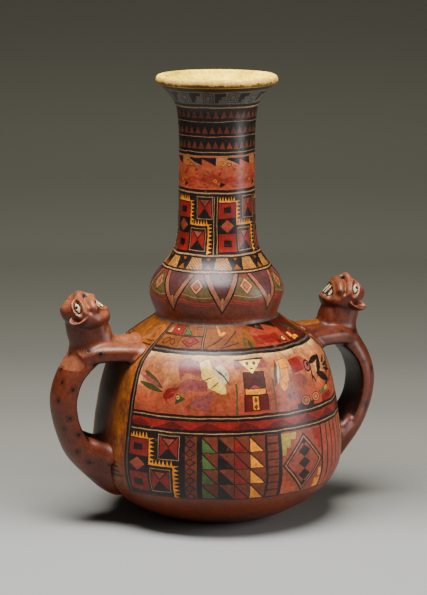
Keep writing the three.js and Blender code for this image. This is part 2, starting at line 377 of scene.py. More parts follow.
def eye_axes():
    """The eye's own directions: out of its dome, along its almond and across it."""
    facing = EYE_FACING / np.linalg.norm(EYE_FACING)
    forward = np.array([0, 1.0, 0]) - facing[1] * facing
    forward /= np.linalg.norm(forward)
    along = np.cross(forward, facing)
    along = along * np.sign(along[0]) - EYE_SLANT * forward
    along /= np.linalg.norm(along)
    return facing, along, np.cross(facing, along)


def lid_rise(near):
    """Height of the lid over the egg: a bell-shaped ring round the eye's oval, and a dent inside it."""
    _, along, across = eye_axes()
    gap = near * HEAD_HALF - EYE_PLACE
    reach = np.hypot(gap @ along / EYE_LENGTH, gap @ across / EYE_BREADTH)
    ridge = LID_RISE * np.exp(-(((reach - LID_REACH) / LID_SPREAD) ** 2))
    return ridge - SOCKET_DEPTH * np.exp(-((reach / SOCKET_REACH) ** 4))


def angle_to_line(way, line):
    """Degrees from each direction to the nearest point of a line of directions."""
    points = np.array(line, float)
    points /= np.linalg.norm(points, axis=1)[:, None]
    nearest = np.linalg.norm(way - points[0], axis=-1)
    for start, step in zip(points, np.diff(points, axis=0)):
        share = np.clip((way - start) @ step / (step @ step), 0, 1)
        nearest = np.minimum(nearest, np.linalg.norm(way - start - share[..., None] * step, axis=-1))
    return np.degrees(2 * np.arcsin(np.minimum(nearest / 2, 1)))


def head_grid(mouth):
    """An egg whose radius along each direction grows by the mouth, the lids and the sum of the forms, each
    its rise times a steep bell of the angle from its own line."""
    way = ball(HEAD_RINGS, HEAD_SIDES)
    near = np.concatenate([np.abs(way[..., :1]), way[..., 1:]], axis=-1)
    rise = mouth_rise(way, mouth) + lid_rise(near)
    for line, height, spread in HEAD_FORMS.values():
        rise += height * np.exp(-((angle_to_line(near, line) / spread) ** FORM_POWER))
    return on_head(way * (HEAD_HALF + rise[..., None]))


print("head rings", HEAD_RINGS, "sides", HEAD_SIDES, "forms", len(HEAD_FORMS))

# %% [markdown]
# ## Ears and eyes
#
# The ears are small cups, pinched out of the clay and thumbed hollow, open up and forwards. The eyes are
# almond beads.

# %% Ears and eyes
EARS = {"cat_right": np.array([14.2, -6.4, 3.0]), "cat_left": np.array([14.2, -2.8, 3.8])}
EAR_ACROSS = np.array([0, 0.88, -0.47])
EAR_DOWN = np.array([0, -0.47, -0.88])
EAR_TILT = math.radians(56)
EAR_WIDTH, EAR_DROP, EAR_TOP = 7.0, 5.0, 4.0
EAR_DEPTH, EAR_RIM, EAR_HOLLOW = 5.5, 2.4, 6.0
EAR_RINGS, EAR_SIDES = 40, 60
EYE_RINGS, EYE_SIDES = 24, 48


def ear_grid(place, hand):
    """A cup: a flattened ball, longer below than above, whose open side is hollowed by the cube of its
    height, leaning out at the bottom."""
    out = np.array([1.0, 0, 0])
    facing = math.cos(EAR_TILT) * out - math.sin(EAR_TILT) * EAR_DOWN
    down = math.cos(EAR_TILT) * EAR_DOWN + math.sin(EAR_TILT) * out
    way = ball(EAR_RINGS, EAR_SIDES)
    up = way[..., 1:2]
    lift = np.where(up > 0, EAR_RIM * up - EAR_HOLLOW * up ** 3, EAR_DEPTH * up)
    drop = np.where(way[..., 2:] > 0, EAR_DROP, EAR_TOP) * way[..., 2:]
    cup = place + EAR_WIDTH * way[..., :1] * EAR_ACROSS + drop * down + lift * facing
    return on_head(cup * (hand, 1, 1))


def eye_grid(hand):
    """An almond dome: a ball drawn out sideways, whose breadth is cut by a parabola towards its two
    corners."""
    facing, along, breadth = eye_axes()
    way = ball(EYE_RINGS, EYE_SIDES)
    pinch = 1 - EYE_PINCH * way[..., :1] ** 2
    almond = EYE_PLACE + EYE_LENGTH * way[..., :1] * along + EYE_DOME * way[..., 1:2] * facing
    almond = almond + EYE_BREADTH * way[..., 2:] * pinch * breadth
    return on_head(almond * (hand, 1, 1))


eyes = [skin(eye_grid(-1)), skin(eye_grid(1))]
print("eyes", len(eyes))

# %% [markdown]
# ## Pressing the clay together
#
# The limbs and head overlap as rolled clay would. A voxel remesh makes them one skin and the Smooth
# modifier softens it. Then the creases between limbs are filled, as a potter fills them with wet clay, the
# root is cut back to the middle of the bottle's wall, and near the wall the skin is flared, as clay is when
# a thumb drags it on to the pot. Metaballs would blend too, but they lose the profiles.

# %% One cat, then the other
VOXEL = 0.55
SMOOTH_ROUNDS = 3
FILL_ROUNDS = 80
FILL_CLEAR = (15.5, 20.5)
FLARE = 1.5
FLARE_REACH = 4.5
CLAY = "clay_mm"
SWAY, SWAY_FROM = 2.2, (80, 98)
HAUNCH_SWAY, HAUNCH_LEVEL, HAUNCH_SPREAD = 3.0, 42, 16


def finished(piece):
    """The piece's mesh with its modifiers applied; the piece itself is removed."""
    graph = bpy.context.evaluated_depsgraph_get()
    mesh = bpy.data.meshes.new_from_object(piece.evaluated_get(graph))
    bpy.data.objects.remove(piece)
    return mesh


def normals_of(mesh):
    """Corner normals of a mesh as an array."""
    flat = np.empty(3 * len(mesh.vertices))
    mesh.vertices.foreach_get("normal", flat)
    return flat.reshape(-1, 3)


def place_corners(mesh, place):
    """Puts a mesh's corners at the given places, in mm."""
    mesh.vertices.foreach_set("co", (place * MM).ravel())
    mesh.update()


def pressed_together(skins):
    """One skin round several: the voxel remesh, then rounds of smoothing, each of which moves a corner half
    way to the mean of its neighbours."""
    clay = mesh_object("clay", skins)
    remesh = clay.modifiers.new("press", "REMESH")
    remesh.mode = "VOXEL"
    remesh.voxel_size = VOXEL * MM
    thumb = clay.modifiers.new("thumb", "SMOOTH")
    thumb.factor = 0.5
    thumb.iterations = SMOOTH_ROUNDS
    return finished(clay)


def filled(mesh):
    """Creases filled: in each round a corner that lies in a hollow, where the step to its neighbours' mean
    points out of the clay, moves half that step. The head keeps its creases."""
    place = corners_of(mesh)
    pairs = np.empty(2 * len(mesh.edges), np.int32)
    mesh.edges.foreach_get("vertices", pairs)
    one, other = pairs.reshape(-1, 2).T
    count = np.bincount(pairs, minlength=len(place))
    weight = smooth_share(np.linalg.norm(place - HEAD_MIDDLE, axis=1), *FILL_CLEAR)
    for _ in range(FILL_ROUNDS):
        near = [
            np.bincount(one, axis[other], len(axis)) + np.bincount(other, axis[one], len(axis))
            for axis in place.T
        ]
        step = np.stack(near, axis=1) / count[:, None] - place
        hollow = np.einsum("ij,ij->i", step, normals_of(mesh)) > 0
        place += (0.5 * weight * hollow)[:, None] * step
        place_corners(mesh, place)
    return mesh


def flared(mesh):
    """Corners near the bottle's wall moved out along their normals by a parabola of their distance from
    it."""
    place = corners_of(mesh)
    gap = np.hypot(place[:, 0], place[:, 1]) - wall_radius(place[:, 2])
    push = FLARE * np.clip(1 - np.abs(gap) / FLARE_REACH, 0, 1) ** 2
    place_corners(mesh, place + push[:, None] * normals_of(mesh))
    return mesh


def rooted(mesh):
    """The cat's mesh with what lies inside the middle of the bottle's wall cut away."""
    middle = set_in(outline, WALL / 2)
    inside = middle[(middle[:, 1] > FLOOR) & (middle[:, 1] < HEIGHT / 2)]
    core = mesh_object("core", [skin(turned(inside))])
    cat = bpy.data.objects.new("cat", mesh)
    bpy.context.scene.collection.objects.link(cat)
    cut = cat.modifiers.new("root", "BOOLEAN")
    cut.operation = "DIFFERENCE"
    cut.solver = "EXACT"
    cut.object = core
    made = finished(cat)
    bpy.data.objects.remove(core)
    return made


def cat_skins(name):
    """Limbs and head pressed together, filled, flared and cut at the wall, with the eyes set in."""
    ears = [skin(ear_grid(EARS[name], hand)) for hand in (-1, 1)]
    head = [skin(head_grid(MOUTHS[name])), *ears]
    clay = rooted(flared(filled(pressed_together(limbs + head))))
    return [(corners_of(clay), [list(face.vertices) for face in clay.polygons]), *eyes]


def half_turn(skins):
    """The same skins turned half round the bottle: X and Y change sign, so nothing is mirrored."""
    return [(corners * (-1, -1, 1), faces) for corners, faces in skins]


def swayed(skins):
    """The same skins bowed out from the bottle: X grows by the sway times a smooth share of the distance
    from the wall, and more at the haunches by a bell of the height."""
    bowed = []
    for corners, faces in skins:
        reach = np.abs(corners[:, 0])
        haunch = HAUNCH_SWAY * np.exp(-(((corners[:, 2] - HAUNCH_LEVEL) / HAUNCH_SPREAD) ** 2))
        push = (SWAY + haunch) * smooth_share(reach, *SWAY_FROM)
        bowed.append((corners + np.sign(corners[:, :1]) * push[:, None] * (1, 0, 0), faces))
    return bowed


right_skins = cat_skins("cat_right")
left_skins = cat_skins("cat_left")
cats = [mesh_object("cat_right", right_skins), mesh_object("cat_left", half_turn(swayed(left_skins)))]
for cat, skins in zip(cats, (right_skins, left_skins)):
    clay_places = np.vstack([corners for corners, _ in skins])
    cat.data.attributes.new(CLAY, "FLOAT_VECTOR", "POINT").data.foreach_set("vector", clay_places.ravel())
    print(cat.name, "faces", len(cat.data.polygons))

# %% [markdown]
# ## Slips and fields
#
# The painter worked with many thin clays, each ground and mixed with water. Every motif is a shape on
# the wall, found from two numbers: the angle round the bottle and the height up it. Blender's Math nodes
# hold those numbers, so a small class lets us write the sums plainly and adds the nodes for us. Painting an
# image would be the other way, but then nothing could be moved or recoloured.

# %% Slip colours and sums of nodes
SLIP_CODES = {
    "black": "140C09", "dark": "2A150E", "brown": "4A2416", "umber": "662C18", "base": "66290F",
    "red": "7C1710", "deep red": "52100A", "rust": "93331A", "brick": "8A3A24", "salmon": "A04526",
    "tan": "A8643A", "sand": "A06A28", "amber": "7A4008", "pink": "7E4A34", "line": "96704A",
    "cream": "D9A75E", "lip": "FFD82E", "tooth": "F2C48C", "pale": "E2B64E", "chalk": "C4AE86",
    "ochre": "934F16", "yellow": "DE8408", "green": "44592A", "deep green": "2E3A1A", "olive": "4E4024",
    "lime": "9A8530", "grey green": "52534A", "grey": "4E4338", "mauve": "84403A", "purple": "482825",
    # rubbed is also the pale clay of the cats' painted highlight
    "cat": "5C2612", "worn": "7E4A2E", "rubbed": "9C5A3A",
}
NO_SLIP = (0, 0, 0, 0)


def slip(name):
    """A slip's colour as linear red, green and blue: each sRGB share, plus 0.055, over 1.055, to the power
    2.4."""
    shares = [int(SLIP_CODES[name][start:start + 2], 16) / 255 for start in (0, 2, 4)]
    return (*(((share + 0.055) / 1.055) ** 2.4 for share in shares), 1.0)


def plug(tree, value, entry):
    """Sets a node's entry: a field or an output is linked, a slip's name or a plain value is stored."""
    if isinstance(value, Field):
        value = value.output
    if isinstance(value, bpy.types.NodeSocket):
        tree.links.new(value, entry)
    else:
        entry.default_value = slip(value) if isinstance(value, str) else value


class Field:
    """A number that varies over the surface: an output in a node tree, whose arithmetic adds Math nodes.
    Tests give 1 where they hold and 0 elsewhere, so & is a product and | the larger of the two."""

    def __init__(self, tree, output):
        self.tree, self.output = tree, output

    def math(self, operation, *others):
        node = self.tree.nodes.new("ShaderNodeMath")
        node.operation = operation
        for value, entry in zip((self, *others), node.inputs):
            plug(self.tree, value, entry)
        return Field(self.tree, node.outputs[0])

    def __add__(self, other):
        return self.math("ADD", other)

    def __sub__(self, other):
        return self.math("SUBTRACT", other)

    def __mul__(self, other):
        return self.math("MULTIPLY", other)

    def __and__(self, other):
        return self.math("MULTIPLY", other)

    def __or__(self, other):
        return self.math("MAXIMUM", other)

    def __lt__(self, other):
        return self.math("LESS_THAN", other)

    def __gt__(self, other):
        return self.math("GREATER_THAN", other)

    def __abs__(self):
        return self.math("ABSOLUTE")

    def within(self, low, high):
        """1 from low to high."""
        return self.math("COMPARE", (low + high) / 2, (high - low) / 2)

    def repeat(self, low, high):
        """The value brought into low to high by whole steps."""
        return self.math("WRAP", high, low)

    def held(self, top):
        """The value kept from 0 to top."""
        return self.math("MINIMUM", top).math("MAXIMUM", 0)

    def slope(self, rise, top):
        """The value times a rise, kept from 0 to top: a soft edge."""
        return (self * rise).held(top)

    def zigzag(self, period):
        """A wave of straight slopes, 0 to 1 and back in each period."""
        return self.math("PINGPONG", period / 2) * (2 / period)


def add_group(tree, group):
    """Places a node group in a tree."""
    node = tree.nodes.new("ShaderNodeGroup")
    node.node_tree = group
    return node


def new_group(name, entries, exits):
    """An empty node group with the named entries and exits, each a name and a socket type."""
    group = bpy.data.node_groups.new(name, "ShaderNodeTree")
    for entry, kind in entries:
        group.interface.new_socket(entry, in_out="INPUT", socket_type="NodeSocket" + kind)
    for way_out, kind in exits:
        group.interface.new_socket(way_out, in_out="OUTPUT", socket_type="NodeSocket" + kind)
    return group, group.nodes.new("NodeGroupInput"), group.nodes.new("NodeGroupOutput")


def object_place(tree):
    """The place on the piece, in metres."""
    return tree.nodes.new("ShaderNodeTexCoord").outputs["Object"]


def add_noise(tree, place, scale, detail, roughness=0.5):
    """A noise texture over places in metres: its value and its colour."""
    node = tree.nodes.new("ShaderNodeTexNoise")
    for entry, value in (("Vector", place), ("Scale", scale), ("Detail", detail), ("Roughness", roughness)):
        plug(tree, value, node.inputs[entry])
    return Field(tree, node.outputs["Fac"]), node.outputs["Color"]


def vector_math(tree, operation, *values):
    """A Vector Math node: its vector and its number."""
    node = tree.nodes.new("ShaderNodeVectorMath")
    node.operation = operation
    for value, entry in zip(values, node.inputs):
        plug(tree, value, entry)
    return node.outputs[0], Field(tree, node.outputs[1])


def split(tree, vector):
    """The three parts of a vector."""
    return [vector_math(tree, "DOT_PRODUCT", vector, axis)[1] for axis in np.eye(3).tolist()]


def mix(tree, mask, under, over):
    """A colour that is under where the mask is 0 and over where it is 1."""
    node = tree.nodes.new("ShaderNodeMix")
    node.data_type = "RGBA"
    for value, entry in ((mask, node.inputs[0]), (under, node.inputs[6]), (over, node.inputs[7])):
        plug(tree, value, entry)
    return node.outputs[2]


def set_stops(ramp, stops):
    """Gives a colour ramp its stops, each a share of its length and a colour."""
    elements = ramp.elements
    elements.remove(elements[1])
    for index, (share, colour) in enumerate(stops):
        element = elements[0] if index == 0 else elements.new(share)
        element.position = share
        element.color = colour


def steps(tree, value, stops, smooth=False):
    """A colour for each stretch of a value, as a colour ramp: stops are where a stretch starts and its
    slip, or None where nothing is painted. Returns the colour and the mask."""
    low, high = stops[0][0] - 1, stops[-1][0] + 1
    node = tree.nodes.new("ShaderNodeValToRGB")
    node.color_ramp.interpolation = "LINEAR" if smooth else "CONSTANT"
    plug(tree, (value - low) * (1 / (high - low)), node.inputs[0])
    set_stops(node.color_ramp, [
        ((start - low) / (high - low), slip(name) if name else NO_SLIP) for start, name in stops
    ])
    return node.outputs["Color"], Field(tree, node.outputs["Alpha"])


print("slips", len(SLIP_CODES))

# %% [markdown]
# ## The painter's hand and the burnished surface
#
# No painted line is quite straight. The chart group reads the angle and height from a place that a slow and
# a quick noise have pushed about by a fraction of a millimetre, so every edge wavers as a brush does. The
# second group is the burnish: slip lies thicker and thinner, fine pits hold dirt, and handling has rubbed
# some of it back to the clay.

# %% Two shared node groups
SLOW_WAVER, QUICK_WAVER = 1.5, 0.42
SLOW_SCALE, QUICK_SCALE = 75, 420
TO_DEGREES = 180 / math.pi
# Each noise's scale over metres, its detail and its roughness
CLOUD, MOTTLE, GRAIN, RUB = (42, 5, 0.65), (270, 6, 0.8), (560, 5, 0.75), (150, 9, 0.75)
# Where each noise starts to show, and how much of it shows at most
BARE_FROM, BARE_MOST, BARE_WITH_WEAR = 0.67, 0.5, 0.14
FILM_FROM, FILM_MOST = 0.46, 0.5
PIT_FROM, PIT_MOST = 0.39, 0.75


def chart_group():
    """Angle in degrees, arctangent of x over -y, and height in mm, both of the wavering place."""
    group, _, way_out = new_group("painters_chart", [], [("Angle", "Float"), ("Height", "Float")])
    place = object_place(group)
    for scale, reach in ((SLOW_SCALE, SLOW_WAVER), (QUICK_SCALE, QUICK_WAVER)):
        centred, _ = vector_math(group, "SUBTRACT", add_noise(group, place, scale, 2)[1], (0.5, 0.5, 0.5))
        place, _ = vector_math(group, "MULTIPLY_ADD", centred, (reach * MM,) * 3, place)
    x, y, z = split(group, place)
    plug(group, x.math("ARCTAN2", y * -1) * TO_DEGREES, way_out.inputs["Angle"])
    plug(group, z * (1 / MM), way_out.inputs["Height"])
    return group


def burnish_group():
    """The slip's colour lightened and darkened by noise, pitted with dark specks, worn to bare clay where
    another noise is high and filmed with brown where it is low; the roughness, which grows where it is
    worn; and a fine height for the Bump node."""
    entries = [("Colour", "Color"), ("Wear", "Float"), ("Roughness", "Float")]
    group, way_in, way_out = new_group(
        "burnished_slip", entries, [("Colour", "Color"), ("Roughness", "Float"), ("Height", "Float")])
    place = object_place(group)
    wear, roughness = (Field(group, way_in.outputs[name]) for name in ("Wear", "Roughness"))
    cloud, grain, rub = (add_noise(group, place, *noise)[0] for noise in (CLOUD, GRAIN, RUB))
    bare = (rub + wear * BARE_WITH_WEAR - BARE_FROM).slope(9, BARE_MOST)
    film = (rub * -1 + FILM_FROM).slope(5, FILM_MOST)
    pit = (grain * -1 + PIT_FROM).slope(12, PIT_MOST)
    mottle, _ = add_noise(group, place, *MOTTLE)
    tone = (cloud * 1.7 + 0.15) * (grain * 1.4 + 0.3) * (mottle * 2 + 0.02)
    worn = mix(group, bare, way_in.outputs["Colour"], "worn")
    toned, _ = vector_math(group, "SCALE", mix(group, film, worn, "brown"))
    plug(group, tone, toned.node.inputs["Scale"])
    plug(group, mix(group, pit, toned, "dark"), way_out.inputs["Colour"])
    plug(group, roughness + bare * 0.2 + cloud * 0.12 + pit * 0.2 - 0.05, way_out.inputs["Roughness"])
    plug(group, cloud * 0.5 + grain * 0.35 - bare * 0.25 - pit * 0.3, way_out.inputs["Height"])
    return group


CHART, BURNISH = chart_group(), burnish_group()
print("groups", CHART.name, BURNISH.name)

# %% [markdown]
# ## A painter for each band
#
# The bottle's paint goes on band by band, as the painter's did, and each band is its own material. A Paint
# holds the running colour: laying a slip mixes it over what is there already. Small motifs are given as
# rows of a table: the shape, where its middle is, its half width and half height in mm, its turn, its slip
# and the share of it that is outline.

# %% The Paint class
BUMP_REACH = 0.12 * MM
SHEEN = 0.38
OUTLINE = "black"


class Paint:
    """A material under way: the wavering angle and height, and the colour laid so far."""

    def __init__(self, name, mm_per_degree):
        self.material = bpy.data.materials.new(name)
        self.material.use_nodes = True
        self.tree = self.material.node_tree
        chart = add_group(self.tree, CHART)
        self.angle, self.height = (Field(self.tree, output) for output in chart.outputs)
        self.mm_per_degree = mm_per_degree
        self.colour = "tan"

    def lay(self, colour, mask):
        """Paints a colour over what is there, where the mask is 1."""
        self.colour = mix(self.tree, mask, self.colour, colour)

    def flat_chart(self, angle=None):
        """The band rolled out flat, in mm: angle times the mm in a degree, and height."""
        node = self.tree.nodes.new("ShaderNodeCombineXYZ")
        plug(self.tree, (self.angle if angle is None else angle) * self.mm_per_degree, node.inputs[0])
        plug(self.tree, self.height, node.inputs[1])
        return node.outputs[0]

    def reach(self, chart, shape, middle, half, turn=0):
        """How far out of a shape a place is, 1 at its edge. With x and y from the middle, turned back and
        over the half sizes: an oval is their length, a box the larger of |x| and |y|, a diamond |x| + |y|,
        a leaf x squared + |y|, a wedge the larger of 2|x| + y and -y, and a corner the largest of x + y +
        1, -x and -y."""
        cosine, sine = math.cos(math.radians(turn)), math.sin(math.radians(turn))
        offset = vector_math(self.tree, "SUBTRACT", chart, (middle[0] * self.mm_per_degree, middle[1], 0))[0]
        x = vector_math(self.tree, "DOT_PRODUCT", offset, (cosine / half[0], sine / half[0], 0))[1]
        y = vector_math(self.tree, "DOT_PRODUCT", offset, (-sine / half[1], cosine / half[1], 0))[1]
        if shape == "oval":
            return x.math("MULTIPLY_ADD", x, y * y).math("SQRT")
        if shape == "box":
            return abs(x).math("MAXIMUM", abs(y))
        if shape == "diamond":
            return abs(x) + abs(y)
        if shape == "leaf":
            return x.math("MULTIPLY_ADD", x, abs(y))
        if shape == "wedge":
            return abs(x).math("MULTIPLY_ADD", 2, y).math("MAXIMUM", y * -1)
        return (x + y + 1).math("MAXIMUM", x * -1).math("MAXIMUM", y * -1)

    def draw(self, rows, chart, where):
        """Lays each row of a table of motifs, first its dark outline and then its slip, where a mask is 1."""
        for shape, angle, height, wide, high, turn, name, outline in rows:
            reach = self.reach(chart, shape, (angle, height), (wide, high), turn)
            if outline:
                self.lay(OUTLINE, (reach < 1) & where)
            self.lay(name, (reach < 1 - outline) & where)

    def burnish(self, wear, roughness, sheen=SHEEN):
        """Runs the colour through the burnish group into the material's shader."""
        tree = self.tree
        finish = add_group(tree, BURNISH)
        for name, value in (("Colour", self.colour), ("Wear", wear), ("Roughness", roughness)):
            plug(tree, value, finish.inputs[name])
        bump = tree.nodes.new("ShaderNodeBump")
        bump.inputs["Distance"].default_value = BUMP_REACH
        plug(tree, finish.outputs["Height"], bump.inputs["Height"])
        shader = tree.nodes["Principled BSDF"]
        plug(tree, finish.outputs["Colour"], shader.inputs["Base Color"])
        plug(tree, finish.outputs["Roughness"], shader.inputs["Roughness"])
        plug(tree, bump.outputs["Normal"], shader.inputs["Normal"])
        shader.inputs["Specular IOR Level"].default_value = sheen
        print(self.material.name, "nodes", len(tree.nodes))
        return self.material


# %% [markdown]
# ## The comb-step block
#
# One block of pattern comes twice, on the neck and low on the body: red squares with black hearts, crossed
# squares in cream frames, and comb-toothed bars that step down between them. It is worked out once, in
# shares of its own width and height, as a node group that both bands use.

# %% A group for the block that comes twice
TOOTH, TOOTH_LENGTH, TOOTH_POWER = 0.068, 0.09, 1.8
# Rectangles as left, right, low and high, and the middles of the crossed squares, in shares of the block
RED_SQUARES = [(0, 0.41, 0.615, 0.88), (0, 0.41, 0.03, 0.34)]
BLACK_HEARTS = [(0.12, 0.30, 0.70, 0.81), (0.11, 0.30, 0.11, 0.23)]
CROSSED_SQUARES = [(0.795, 0.80), (0.64, 0.24)]
CROSSED_SHARE = (5.3, 5.0)


def box(x, y, left, right, low, high):
    """1 inside a rectangle."""
    return x.within(left, right) & y.within(low, high)


def either_box(x, y, first, second):
    """1 inside either of two rectangles."""
    return box(x, y, *first) | box(x, y, *second)


def comb_group():
    """The block's colour from shares across and up: boxes, a diamond and framed crossed squares, where the
    larger of the two distances from the middle tells the side, and bars whose edge is moved by a zigzag,
    which makes teeth."""
    group, way_in, way_out = new_group(
        "comb_step_block", [("Across", "Float"), ("Up", "Float")], [("Colour", "Color")])
    x, y = (Field(group, output) for output in way_in.outputs[:2])
    colour = mix(group, either_box(x, y, *RED_SQUARES), "black", "red")
    colour = mix(group, either_box(x, y, *BLACK_HEARTS), colour, "black")
    colour = mix(group, abs(x - 0.205) * 6.3 + abs(y - 0.475) * 9.1 < 1, colour, "brick")
    for middle_x, middle_y in CROSSED_SQUARES:
        side, rise = (x - middle_x) * CROSSED_SHARE[0], (y - middle_y) * CROSSED_SHARE[1]
        edge = abs(side).math("MAXIMUM", abs(rise))
        colour = mix(group, edge < 1, colour, "line")
        colour = mix(group, edge < 0.94, colour, "black")
        colour = mix(group, (edge < 0.84) & (abs(side) > abs(rise)), colour, "red")
        colour = mix(group, (edge < 0.7) & (abs(rise) > abs(side) + 0.16) & (rise > side), colour, "brick")
    along_x, along_y = (share.zigzag(TOOTH).math("POWER", TOOTH_POWER) * TOOTH_LENGTH for share in (x, y))
    bars = (y > 0.9) & (y - along_x < 0.918) & (x < 0.42)
    bars = bars | ((x > 0.43) & (x - along_y < 0.452) & y.within(0.487, 0.92))
    bars = bars | ((y > 0.487) & (y - along_x < 0.506) & x.within(0.43, 0.9))
    bars = bars | ((x > 0.87) & (x - along_y < 0.894) & (y < 0.512))
    plug(group, mix(group, bars, colour, "yellow"), way_out.inputs["Colour"])
    return group


COMBS = comb_group()
print("group", COMBS.name, "nodes", len(COMBS.nodes))

# %% [markdown]
# ## The neck
#
# From the mouth down: a pale band of stepped frets, three rows of red flames on black, a salmon band with
# saw teeth and ringed eyes, and five comb-step blocks. Each repeats a whole number of times round the neck,
# so the pattern meets itself at the back.

# %% Neck paint
NECK_RINGS = [
    (176, "black"), (181, "line"), (182, "black"), (222.7, "line"), (223.4, "black"), (225.6, "salmon"),
    (247.5, "line"), (248.1, "black"), (250, "line"), (250.6, "black"), (260.2, "line"), (260.8, "black"),
    (270.2, "line"), (270.8, "black"), (279.8, "line"), (280.4, "black"), (282.3, "grey green"),
    (291.6, "dark"), (294.6, "lip"), (300, "lip"),
]
# Bands are given as low and high in mm, turns and half widths in degrees
FRET_TURN, FRET_START, FRET_BAND = 30, 24, (284, 290.6)
SPIRAL_MIDDLE, SPIRAL_HALF, SPIRAL_BAND = (22, 287.2), (6.2, 3.4), (283, 291)
FLAMES_ROUND, FLAME_ROW, FLAME_RISE, FLAME_LOW = 33, 10.15, 5.0, 252.8
FLAME_HALF, FLAME_SHIFT, FLAME_BAND = 4.6, 5, (252.4, 279)
SAW_TURN, SAW_START, SAW_TOOTH, SALMON_BAND = 60, 66, 21.5, (225.8, 247.3)
BLOCK_TURN, BLOCK_START, BLOCK_WIDE = 72, 19, 64
BLOCK_LOW, BLOCK_HIGH, BLOCK_BAND = 183, 38, (182.8, 221)
SALMON_ROWS = [
    ("leaf", 12, 238.8, 1.4, 0.8, 30, "red", 0), ("leaf", 31, 237.2, 2.4, 0.8, -30, "brick", 0),
    ("leaf", 50, 236.2, 2.0, 0.7, 50, "red", 0), ("leaf", 20, 234.8, 3.0, 0.7, 10, "rust", 0),
    ("oval", 42, 231.4, 1.6, 1.6, 0, "yellow", 0.2), ("oval", 42, 231.4, 0.8, 0.8, 0, "salmon", 0.2),
    ("oval", 55, 243.1, 1.7, 1.7, 0, "yellow", 0.2), ("oval", 55, 243.1, 0.8, 0.8, 0, "salmon", 0.3),
    ("oval", 3.6, 242.2, 1.8, 1.4, 0, "tan", 0.3), ("wedge", 52, 229.4, 2.4, 1.5, 30, "black", 0),
]
WASH_STRETCH, WASH_LEVEL, WASH_FADE = (1, 1, 3.2), 231.4, 0.035


def neck_paint():
    """The neck's bands by height, each over its own stretch of angle repeated round."""
    paint = Paint("neck_paint", 0.447)
    tree, angle, height = paint.tree, paint.angle, paint.height
    paint.colour, _ = steps(tree, height, NECK_RINGS)

    fret = (angle + FRET_START).repeat(0, FRET_TURN)
    stair = (height > 286) * 3 + (height > 288.3) * 5 + 5
    paint.lay("black", (fret < stair) & height.within(*FRET_BAND))
    across, up = abs(fret - SPIRAL_MIDDLE[0]), abs(height - SPIRAL_MIDDLE[1])
    spiral = (across * (1 / SPIRAL_HALF[0])).math("MAXIMUM", up * (1 / SPIRAL_HALF[1]))
    paint.lay("dark", (spiral.within(0.84, 1) | spiral.within(0.4, 0.58)) & height.within(*SPIRAL_BAND))

    row = ((height - FLAME_LOW) * (1 / FLAME_ROW)).math("FLOOR")
    up = height - FLAME_LOW - row * FLAME_ROW
    across = abs((angle + row * FLAME_SHIFT + 2).repeat(-180 / FLAMES_ROUND, 180 / FLAMES_ROUND))
    flame = across * (1 / FLAME_HALF) + up * (1 / FLAME_RISE)
    paint.lay("umber", (flame < 1) & height.within(*FLAME_BAND))

    saw = (angle + SAW_START).repeat(0, SAW_TURN)
    tooth = saw.repeat(0, SAW_TOOTH)
    salmon = height.within(*SALMON_BAND)
    paint.lay("tan", (abs(saw - SAW_TURN / 2) > 12) & (height + tooth * 0.05 > 242.4) & salmon)
    streak = vector_math(tree, "MULTIPLY", object_place(tree), WASH_STRETCH)[0]
    wash = add_noise(tree, streak, 120, 5, 0.7)[0] - abs(height - WASH_LEVEL) * WASH_FADE - 0.36
    paint.lay("red", wash.slope(7, 0.8) & salmon)
    paint.draw(SALMON_ROWS, paint.flat_chart(saw), salmon)
    paint.lay("black", (saw < 2 * SAW_TOOTH) & (height + tooth * 0.2 > 245.9) & (height < 246.9))

    block = (angle + BLOCK_START).repeat(0, BLOCK_TURN)
    combs = add_group(tree, COMBS)
    plug(tree, block * (1 / BLOCK_WIDE), combs.inputs["Across"])
    plug(tree, (height - BLOCK_LOW) * (1 / BLOCK_HIGH), combs.inputs["Up"])
    paint.lay(combs.outputs["Colour"], height.within(*BLOCK_BAND) & (block < BLOCK_WIDE))
    edges = block.within(64.6, 65.6) | block.within(69.4, 70.4)
    paint.lay("line", edges & height.within(*BLOCK_BAND))
    return paint.burnish(wear=0.45, roughness=0.36)


neck_material = neck_paint()

# %% [markdown]
# ## The bulb
#
# Eight broad chevrons stand point down round the bulb, each edged in black. The ground between them darkens
# downwards, and a narrow band of hatched blocks closes it at the top.

# %% Bulb paint
BULB_RINGS = [
    (134, "grey"), (138.2, "umber"), (153.4, "olive"), (168, "umber"), (170.4, "black"), (171.4, "line"),
    (172.1, "black"), (181, "line"), (182, "black"),
]
BULB_BAND = (139.6, 170.6)
CHEVRON_TURN, CHEVRON_START, CHEVRON_RISE = 45, 17, 31.7
CHEVRON_STRIPES = [
    ("pink", 146, 153.4), ("black", 144.4, 146.6), ("purple", 153.4, 180), ("black", 152.6, 153.8),
]
LOZENGE_HALF, LOZENGE_LEVEL = (6.2, 5), 163.3
LOZENGE_RINGS = [("black", 1.1), ("tan", 0.97), ("black", 0.6), ("pink", 0.5)]
SMALL_BLOCKS, SMALL_START, SMALL_BAND, SMALL_LEAN = 11, 15, (173.2, 180.2), 0.45


